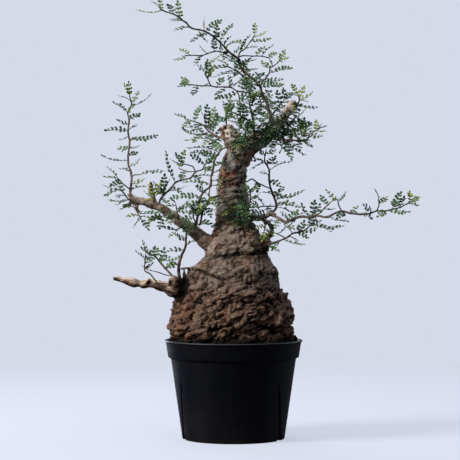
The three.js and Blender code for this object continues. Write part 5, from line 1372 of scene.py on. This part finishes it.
STEMS["trunk_front_shoot"] = (1, [
    [0.9, 0.65, 243, 210, -12, 248, 205, -19, 250.5, 199, -21, 250, 193, -22],
    [0.7, 0.5, 243, 210, -12, 238, 211, -17, 232, 212, -19, 227, 210, -19],
    [0.6, 0.5, 238, 211, -17, 237, 216, -19, 239, 221, -20],
], [
    [250, 193, 246, 185, -2], [250, 194, 256, 188, 2], [250.5, 198, 257, 198, -4], [250, 200, 243, 196, -4],
    [249, 203, 256, 207, -4], [248, 205, 240, 204, -5], [247, 206, 243, 214, -5], [249, 203, 240, 211, -4],
    [247, 206, 236, 208, -4], [250, 197, 240, 190, -4], [243, 210, 234, 214, -3], [243, 210, 240, 201, -4],
    [250, 200, 259, 194, -3], [246, 207, 254, 214, -4], [244, 209, 248, 217, -3], [250, 195, 244, 186, 3],
    [240, 210.5, 234, 220, -3], [237, 211, 245, 220, -3], [229, 211, 222, 215, -2], [238, 218, 246, 225, -2],
])
STEMS["long_right_branch"] = (3, [
    [1.6, 0.6, 269, 214, -4, 276, 217, -11, 285, 221.5, -14, 292, 220, -15, 300, 217, -17, 308, 216.5, -19,
     316, 216, -20, 328, 216.5, -22, 334, 214, -23, 341, 211, -24, 350, 213, -24, 356, 214, -24,
     368, 213.5, -24, 376, 211, -23, 386, 211.5, -22, 392, 209.5, -21, 400, 207.5, -20, 407, 203.5, -18,
     413, 200.5, -17],
    [0.8, 0.6, 315, 216, -20, 321, 212, -21, 326, 207, -21, 331, 202, -20],
    [0.75, 0.6, 341, 211, -24, 339, 205, -25, 338, 200, -26],
    [0.75, 0.6, 376, 211, -23, 379, 205, -21, 378, 198, -19],
    [0.75, 0.6, 315, 216, -20, 316, 221, -22, 317, 226, -23],
], [
    [411, 201, 418, 199, -2], [410, 202, 410, 193, 3], [400, 207.5, 403, 199, -5], [392, 209.5, 400, 194, 3],
    [388, 211, 407, 212, -4], [378, 199, 375, 190, -3], [379, 204, 386, 198, 4], [372, 212, 364, 206, -5],
    [360, 214, 371, 218, 4], [338, 200, 327, 191, 3], [338, 201, 345, 195, -4], [329, 216.5, 346, 221, -4],
    [331, 202, 338, 200, -2], [328, 205, 322, 197, 4], [325, 208, 333, 209, -6], [317, 226, 341, 226, -3],
    [317, 225, 303, 227, 4], [312, 216.3, 314, 203, -4], [309, 216.5, 302, 206, 4], [314, 216, 319, 206, 6],
    [318, 224, 329, 231, -5], [292, 220, 304, 213, -5], [286, 221.5, 296, 212, 5], [288, 221, 281, 213, -6],
    [298, 218, 291, 225, 5], [304, 217, 312, 222, -5], [350, 213, 357, 207, 6], [280, 219, 276, 227, -6],
    [283, 221, 293, 228, -6], [386, 211.5, 378, 216, -4], [400, 207.5, 393, 203, 5],
    [345, 212, 338, 218, -5], [321, 212, 314, 209, -5], [407, 203.5, 416, 206, 4],
])
STEMS["stub_right_twig"] = (1.5, [
    [1.3, 0.6, 263, 247, -10, 270, 244, -14, 278, 241, -17, 287, 238, -19, 292, 234, -20, 300, 232, -21,
     305, 230, -22, 310, 225, -23],
    [0.8, 0.6, 286, 238.3, -18.5, 281, 235.5, -18, 275, 233, -17],
], [
    [284, 239, 303, 244, -4], [296, 233, 306, 238, 4], [292, 234, 285, 226, -5], [298, 232.5, 303, 223, 4],
    [303, 231, 316, 229, -4], [310, 225, 312, 216, -2], [276, 233.5, 266, 229, -3], [278, 241, 273, 249, -5],
    [276, 233.5, 284, 229, -6], [289, 236, 297, 242, 7], [270, 244, 277, 251, -5], [309, 226, 319, 222, 4],
    [272, 243.5, 264, 238, -6],
])
STEMS["right_arm_tuft"] = (1, [
    [1, 0.6, 263, 218, -3, 264, 213, -12, 262, 210, -17],
    [1, 0.6, 262, 219.5, -5, 265, 225, -14, 264, 231, -17],
], [
    [262, 210, 254, 213, -3], [263, 211, 270, 205, -3], [265, 226, 257, 228, -4], [264, 231, 262, 239, -3],
    [264, 230, 273, 236, -3], [264.5, 222, 255, 221, -6], [264.5, 223, 274, 222, -7],
    [263, 214, 258, 219, -8],
])
print("stems:", len(STEMS))

# %% [markdown]
# Where the crown is thickest, leaves stand in front of leaves. Every third or fourth leaf of two of its
# stems has a twin there.

# %% A second leaf beside some
TWIN = {"turn": 38, "length": 0.85, "forward": 5}


def twin(row, turn):
    """A second leaf from the same root, turned in the view by an angle, 0.85 times as long, and nearer."""
    across, down, tip_across, tip_down, back = row
    reach = TWIN["length"] * complex(tip_across - across, tip_down - down) * np.exp(1j * np.radians(turn))
    return [across, down, across + reach.real, down + reach.imag, -TWIN["forward"] - 0.5 * abs(back)]


for name, every in [("crown_front_spray", 3), ("crown_right_twig", 4)]:
    rows = STEMS[name][2]
    turns = [TWIN["turn"] if k % 4 < 2 else -TWIN["turn"] for k in range(len(rows))]
    rows += [twin(row, turns[k]) for k, row in enumerate(rows[:]) if k % every == 0]
print("leaves:", sum(len(stem[2]) for stem in STEMS.values()))

# %% [markdown]
# A row of pixels says where a twig or a leaf shows, and not what it grows from. So an end of a twig that
# comes close to an earlier twig is seated on it, and each leaf takes its root on the nearest twig.

# %% Routes of the twigs
# All in millimetres. No leaf ends further than the last one in front of the trunk or behind it.
SEAT_REACH = 3.2
LEAF_DEPTH = 1.7
DEEPEST = 70


def nearest_on(routes, place, axes):
    """The closest point on some lines to a place, measured along the chosen axes only, and its distance."""
    best, found = np.inf, None
    for route in routes:
        start, step = route[:-1], np.diff(route, axis=0)
        flat, gap = step[:, axes], np.asarray(place)[axes] - start[:, axes]
        share = np.clip((flat * gap).sum(axis=1) / np.maximum((flat ** 2).sum(axis=1), 1e-9), 0, 1)
        spots = start + step * share[:, None]
        away = np.linalg.norm(spots[:, axes] - np.asarray(place)[axes], axis=1)
        if away.min() < best:
            best, found = away.min(), spots[np.argmin(away)]
    return found, best


def twig_routes(spread, twigs):
    """The twigs in millimetres. Depths are spread out from the first one, and an end that comes near an
    earlier twig is moved onto it."""
    first = twigs[0][4]
    seen, routes = [], []
    for twig in twigs:
        rows = np.reshape(twig[2:], (-1, 3)).astype(float)
        rows[:, 2] = first + spread * (rows[:, 2] - first)
        seen.append(rows)
        route = from_view(rows[:, 0], rows[:, 1], rows[:, 2])
        if routes:
            for end in (0, -1):
                seat, gap = nearest_on(routes, route[end], [0, 1, 2])
                if gap < SEAT_REACH:
                    route[end] = seat
        routes.append(route)
    return seen, routes


def leaf_lines(leaf_rows, seen, routes):
    """Roots and tips of the leaves. The root lies on the twig that shows at its pixel, and the tip leans
    back or forward by 1.7 mm for each step of its last number."""
    roots, tips = [], []
    for across, down, tip_across, tip_down, back in leaf_rows:
        spot, _ = nearest_on(seen, (across, down, 0), [0, 1])
        reach = round(LEAF_DEPTH * back)
        root = from_view(across, down, spot[2])
        seat, _ = nearest_on(routes, root, [0, 2])
        tip = from_view(tip_across, tip_down, spot[2] + reach / 2)
        tip[1] = np.clip(seat[1] + reach, -DEEPEST, DEEPEST)
        roots.append(seat)
        tips.append(tip)
    return np.array(roots), np.array(tips)


print("twigs of the leader:", len(twig_routes(*STEMS["leader"][:2])[1]))

# %% [markdown]
# A leaf is mostly 10 to 25 mm long: a thin axis with three to seven pairs of leaflets, most often three,
# and one more at its end. A leaflet is 3 to 4 mm long and 2 to 3 mm wide, widest past its middle,
# thick and a little cupped. There are over 500 leaves with some 4,000 leaflets, so a leaflet is one closed
# shape of 30 faces, and the arrays of all leaflets of a stem are worked out in one go.

# %% One leaflet
LEAFLET = {"long": 4.15, "wide": 2.8, "thick": 0.24, "cup": 0.2, "spacing": 3.7, "off the axis": 0.1}
# Distance along the leaflet and half width there, as shares of its length and its width.
LEAFLET_ROWS = [(0.0, 0.16), (0.24, 0.4), (0.6, 0.52), (0.88, 0.34)]


def leaflet_shape():
    """A leaflet along +X, as shares of its length, width and thickness: four rows of left edge, right edge,
    top and underside, and one tip. Returns the points and the triangles, turned outward."""
    points = []
    for along, half in LEAFLET_ROWS:
        points += [(along, half, 0, 1), (along, -half, 0, 1), (along, 0, 0.5, 0), (along, 0, -0.5, 0)]
    points.append((1.02, 0, 0, 0.2))
    # Round a row from left to top, to right, to underside and back.
    sides = [(0, 2), (2, 1), (1, 3), (3, 0)]
    faces = []
    for row in (0, 4, 8):
        for a, b in sides:
            faces += [(row + a, row + b, row + b + 4), (row + a, row + b + 4, row + a + 4)]
    faces += [(12 + a, 12 + b, 16) for a, b in sides]
    faces += [(0, 1, 2), (0, 3, 1)]
    return np.array(points), np.array(faces)


LEAFLET_POINTS, LEAFLET_FACES = leaflet_shape()
print("a leaflet has", len(LEAFLET_FACES), "faces")

# %% [markdown]
# No two leaves are alike, so random draws give each its bow, its tone and the angles and sizes of its
# leaflets. The draws are the same each time.

# %% The leaves of one stem
STALK_RADII = (0.4, 0.2)
STALK_STEPS = 6
# Angles are in degrees and the rest are shares. A spread is the usual difference from leaf to leaf.
LEAF = {
    "pairs": (3, 7), "bow": 0.09, "bow up": 0.65, "end": 0.97, "angle": 62, "angle spread": 7,
    "pitch": 0.16, "face spread": 0.17, "least": 0.78, "growth": 0.3, "size spread": 0.08,
    "young": 0.85, "tone spread": 0.06,
}


def leaf_axes(roots, tips, draws):
    """Each leaf's frame: along it, to its side and up from its face. Leaves hold their faces to the light, so
    a face is turned up and leans to the front by 9 to 64 degrees."""
    along = unit(tips - roots)
    lean = np.radians(9 + 55 * draws ** 1.2)
    facing = np.stack([np.full(len(lean), 0.12), -np.sin(lean), np.cos(lean)], axis=-1)
    facing = unit(facing - along * (facing * along).sum(axis=1, keepdims=True))
    return along, np.cross(facing, along), facing


def leaves(roots, tips, young, dry, lean, rng):
    """All leaflets of a stem as one shape, with values for each point, and the axes of its leaves. An axis
    bows by 9% of its length, pairs of leaflets stand on it at equal steps, and one leaflet ends it. A
    leaflet stands out by about 62 degrees, and is 0.78 to 1.08 of its size, largest halfway."""
    along, aside, facing = leaf_axes(roots, tips, lean * rng.random(len(roots)))
    reach = np.linalg.norm(tips - roots, axis=1)
    pairs = np.clip(np.round(reach / LEAFLET["spacing"]) - 0.6, *LEAF["pairs"]).astype(int)
    bow = LEAF["bow"] * reach * rng.choice([-1, 1], len(roots), p=[1 - LEAF["bow up"], LEAF["bow up"]])
    leaf, step, side = [], [], []
    for index, count in enumerate(pairs):
        steps = (np.arange(count) + 0.75) / (count + 0.35)
        leaf += [np.full(2 * count + 1, index)]
        step += [np.concatenate([steps, steps, [LEAF["end"]]])]
        side += [np.concatenate([np.ones(count), -np.ones(count), [0]])]
    leaf, step, side = map(np.concatenate, (leaf, step, side))
    step = step + rng.normal(0, 0.008, len(step))
    base = roots[leaf] + along[leaf] * (step * reach[leaf])[:, None]
    base += facing[leaf] * (bow[leaf] * 4 * step * (1 - step))[:, None]
    swing = np.radians(rng.normal(LEAF["angle"], LEAF["angle spread"], len(leaf)))
    pitch = rng.normal(LEAF["pitch"], LEAF["pitch"], len(leaf))[:, None]
    out = along[leaf] * np.where(side == 0, 1, np.cos(swing))[:, None]
    out = unit(out + aside[leaf] * (side * np.sin(swing))[:, None] + facing[leaf] * pitch)
    face = facing[leaf] + LEAF["face spread"] * rng.normal(0, 1, (len(leaf), 3))
    face = unit(face - out * (face * out).sum(axis=1, keepdims=True))
    across = np.cross(face, out)
    shrink = np.where(side == 0, 1.0, LEAF["least"] + LEAF["growth"] * np.sin(np.pi * np.clip(step, 0, 1)))
    size = rng.normal(1, LEAF["size spread"], len(leaf)).clip(0.75, 1.25) * shrink
    size *= np.where(young[leaf], LEAF["young"], 1.0)
    long = LEAFLET["long"] * size
    wide = LEAFLET["wide"] * size
    share_along, share_across, thick, edge = LEAFLET_POINTS.T
    up = thick * LEAFLET["thick"] + edge * LEAFLET["cup"] * 2 * np.abs(share_across)
    reached = LEAFLET["off the axis"] + share_along * long[:, None]
    points = base[:, None] + out[:, None] * reached[..., None]
    points += across[:, None] * (share_across * wide[:, None])[..., None] + face[:, None] * up[None, :, None]
    faces = LEAFLET_FACES + len(LEAFLET_POINTS) * np.arange(len(leaf))[:, None, None]
    tone = np.clip(rng.random(len(roots))[leaf] + rng.normal(0, LEAF["tone spread"], len(leaf)), 0, 1)
    values = {"middle": np.tile(1 - 2 * np.abs(share_across), len(leaf))}
    for name, numbers in [("tone", tone), ("young", young[leaf]), ("dry", dry[leaf])]:
        values[name] = np.repeat(numbers.astype(float), len(LEAFLET_POINTS))
    stalks = []
    for root, way, up_way, length, bend in zip(roots, along, facing, reach, bow):
        t = np.linspace(0, LEAF["end"], STALK_STEPS)
        line = root + way * (t * length)[:, None] + up_way * (bend * 4 * t * (1 - t))[:, None]
        stalks.append(rod(line, np.linspace(*STALK_RADII, STALK_STEPS), 4))
    return points.reshape(-1, 3), faces.reshape(-1, 3), values, stalks


print("pairs of leaflets: from {} to {}".format(*LEAF["pairs"]))

# %% [markdown]
# Twigs are thin, grey-brown and knotty. Each is a rod along a smooth curve through its points, with its
# width changing a little from place to place, and swollen where a leaf grows out of it.
# Twigs, leaf axes and leaflets of one stem make one piece with two materials.

# %% Bark of the twigs
# Light and dark knots of 4 mm.
twig_bark, tree, place = new_material("twig bark")
twig_noise = add_node(tree, "TexNoise", {"Vector": place, "Scale": 260.0, "Detail": 4.0, "Roughness": 0.6})
green_share = add_node(tree, "Attribute", attribute_name="young").outputs["Fac"]
old_twig = add_node(tree, "ValToRGB", {"Fac": twig_noise}, stops=[
    (0.3, "#31271f"), (0.5, "#5f5349"), (0.72, "#978a78"),
])
green_twig = add_node(tree, "ValToRGB", {"Fac": twig_noise}, stops=[(0.3, "#39431f"), (0.7, "#6f7a3c")])
twig_color = add_node(tree, "Mix", {0: green_share, 6: old_twig, 7: green_twig}, data_type="RGBA")
twig_bump = add_node(tree, "Bump", {"Height": twig_noise, "Strength": 0.6, "Distance": 0.0006})
twig_shader = add_node(tree, "BsdfPrincipled", {
    "Base Color": twig_color, "Roughness": 0.8, "Normal": twig_bump,
})
add_node(tree, "OutputMaterial", {"Surface": twig_shader})

# %% [markdown]
# A leaflet is leathery. It has a thin waxy skin, so it shines softly, and some light passes through it,
# which is why leaves against the light look brighter and more yellow. Old leaves are a dark bluish green
# and new ones at the ends of twigs are a pale yellow green.

# %% The leaflets' skin
leaf_skin, tree, place = new_material("leathery pinnate leaf")
share = {
    name: add_node(tree, "Attribute", attribute_name=name).outputs["Fac"]
    for name in ("tone", "young", "middle", "dry")
}
# Each leaflet is mottled by 1.4 mm.
mottle = add_node(tree, "TexNoise", {"Vector": place, "Scale": 700.0, "Detail": 3.0})
mottled = add_node(tree, "Math", {0: mottle, 1: 0.5, 2: -0.25}, operation="MULTIPLY_ADD")
tone_here = add_node(tree, "Math", {0: share["tone"], 1: mottled}, operation="ADD")
old_green = add_node(tree, "ValToRGB", {"Fac": tone_here}, stops=[
    (0.05, "#40664a"), (0.4, "#537d55"), (0.75, "#6a955b"), (1.0, "#8fae68"),
])
new_green = add_node(tree, "ValToRGB", {"Fac": tone_here}, stops=[(0.1, "#7f9a3f"), (0.9, "#bccb62")])
rib = add_node(tree, "MapRange", {"Value": share["middle"], 1: 0.86, 2: 1.0, 3: 0.0, 4: 0.3})
# A few old leaves are dry and straw-coloured, as on any such plant. The rib is paler on all.
leaf_color = old_green
for amount, over in [
    (share["young"], new_green), (share["dry"], linear("#c8a96c")), (rib, linear("#8da25e")),
]:
    leaf_color = add_node(tree, "Mix", {0: amount, 6: leaf_color, 7: over}, data_type="RGBA")
leaf_bump = add_node(tree, "Bump", {"Height": mottle, "Strength": 0.25, "Distance": 0.0002})
leaf_shader = add_node(tree, "BsdfPrincipled", {
    "Base Color": leaf_color, "Roughness": 0.42, "IOR": 1.45, "Normal": leaf_bump,
})
through_light = add_node(tree, "BsdfTranslucent", {"Color": leaf_color})
leaf_mixed = add_node(tree, "MixShader", {0: 0.2, 1: leaf_shader, 2: through_light})
add_node(tree, "OutputMaterial", {"Surface": leaf_mixed})

# %% [markdown]
# A stem comes together here. Leaves near the end of a twig are often new, and some stems are new growth
# as a whole. Thin twigs are green near their ends, and so is the axis of each leaf.

# %% All leafy stems
YOUNG_STEMS = ("arm_tuft", "knob_top_shoot")
YOUNG_REACH = 6
YOUNG_SHARES = {"at an end": 0.3, "on a young stem": 0.7}
DRY_SHARE = 0.004
TWIG_SIDES = 7
# Shares of a twig's radius, but the reach of a swelling and the wandering of its line are in millimetres.
TWIG_FORM = {"swell": 0.28, "swell reach": 1.3, "uneven": 0.16, "wander": 0.35, "tip": 0.6}
GREEN_IF_THINNER = 0.9
AXIS_GREEN = 0.8
# New growth shows at these pixels, and dry leaves at one.
YOUNG_SPOTS = from_view([279, 256, 186, 161, 300], [60, 36, 56, 9, 95], 0)
DRY_SPOTS = from_view([199], [128], 0)
SPOT_REACH = 8
# How far the leaves of some stems lean to the front, as a share of the usual: these lie flatter.
LEAN = {"crown_front_spray": 0.8, "crown_right_spray": 0.9, "crown_right_twig": 0.9, "knob_left_twig": 0.6}
leafy_faces = leaflets = 0
for number, (node, (spread, twigs, leaf_rows)) in enumerate(STEMS.items()):
    rng = np.random.default_rng(100 + number)
    seen, routes = twig_routes(spread, twigs)
    roots, tips = leaf_lines(leaf_rows, seen, routes)
    ends = np.array([route[-1] for route in routes])
    from_end = np.linalg.norm(roots[:, None] - ends, axis=2).min(axis=1)
    young = (from_end < YOUNG_REACH) & (rng.random(len(roots)) < YOUNG_SHARES["at an end"])
    if node in YOUNG_STEMS:
        young |= rng.random(len(roots)) < YOUNG_SHARES["on a young stem"]
    seen_roots = roots[:, None, [0, 2]]
    young |= np.linalg.norm(seen_roots - YOUNG_SPOTS[:, [0, 2]], axis=2).min(axis=1) < SPOT_REACH
    dry = np.linalg.norm(seen_roots - DRY_SPOTS[:, [0, 2]], axis=2).min(axis=1) < SPOT_REACH / 2
    dry |= rng.random(len(roots)) < DRY_SHARE
    shapes, greens = [], []
    for (thick, thin, *_), route in zip(twigs, routes):
        line = smooth_route(route, 5)
        share = np.linspace(0, 1, len(line))
        radii = (thick + (thin - thick) * share) * (1 + TWIG_FORM["uneven"] * noise(line / 4.5))
        to_leaf = np.linalg.norm(line[:, None] - roots, axis=2).min(axis=1)
        radii *= 1 + TWIG_FORM["swell"] * np.exp(-(to_leaf / TWIG_FORM["swell reach"]) ** 2)
        radii[-1] *= TWIG_FORM["tip"]
        wander = np.stack([noise(line[1:-1] / 6 + k * 9) for k in range(3)], axis=-1)
        line[1:-1] += TWIG_FORM["wander"] * wander
        shapes.append(rod(line, radii, TWIG_SIDES))
        new_wood = smooth_step(share, 0.8, 1.0) * (thin < GREEN_IF_THINNER)
        greens.append(np.concatenate([np.repeat(new_wood, TWIG_SIDES), [new_wood[0], new_wood[-1]]]))
    points, faces, values, stalks = leaves(roots, tips, young, dry, LEAN.get(node, 1), rng)
    greens += [np.full(len(stalk[0]), AXIS_GREEN) for stalk in stalks]
    wood_part = join(shapes + stalks)
    together = join([wood_part, (points, NO_QUADS, faces)])
    made = make_object(f"leafy_{node}", *together, [twig_bark, leaf_skin])
    slot = np.repeat([0, 1], [len(wood_part[1]) + len(wood_part[2]), len(faces)]).astype(np.int32)
    made.data.polygons.foreach_set("material_index", slot)
    on_wood = {name: np.zeros(len(wood_part[0])) for name in values}
    on_wood["young"] = np.concatenate(greens)
    add_values(made, **{name: np.concatenate([on_wood[name], values[name]]) for name in values})
    settle(made, node)
    leafy_faces += 2 * len(together[1]) + len(together[2])
    leaflets += len(faces) // len(LEAFLET_FACES)
print("leaflets:", leaflets, "triangles on leafy stems:", leafy_faces)

# %% [markdown]
# The last step measures what was made against the imported model. The two boxes are kept side by side,
# and their sizes are printed.

# %% Sizes and the end
dressed_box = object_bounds()
boxes = {
    "cad": [[float(v) for v in corner] for corner in cad_box],
    "visual": [[float(v) for v in corner] for corner in dressed_box],
}
for name, (low, high) in boxes.items():
    print(name, "box in mm:", [round((b - a) * 1000, 1) for a, b in zip(low, high)])
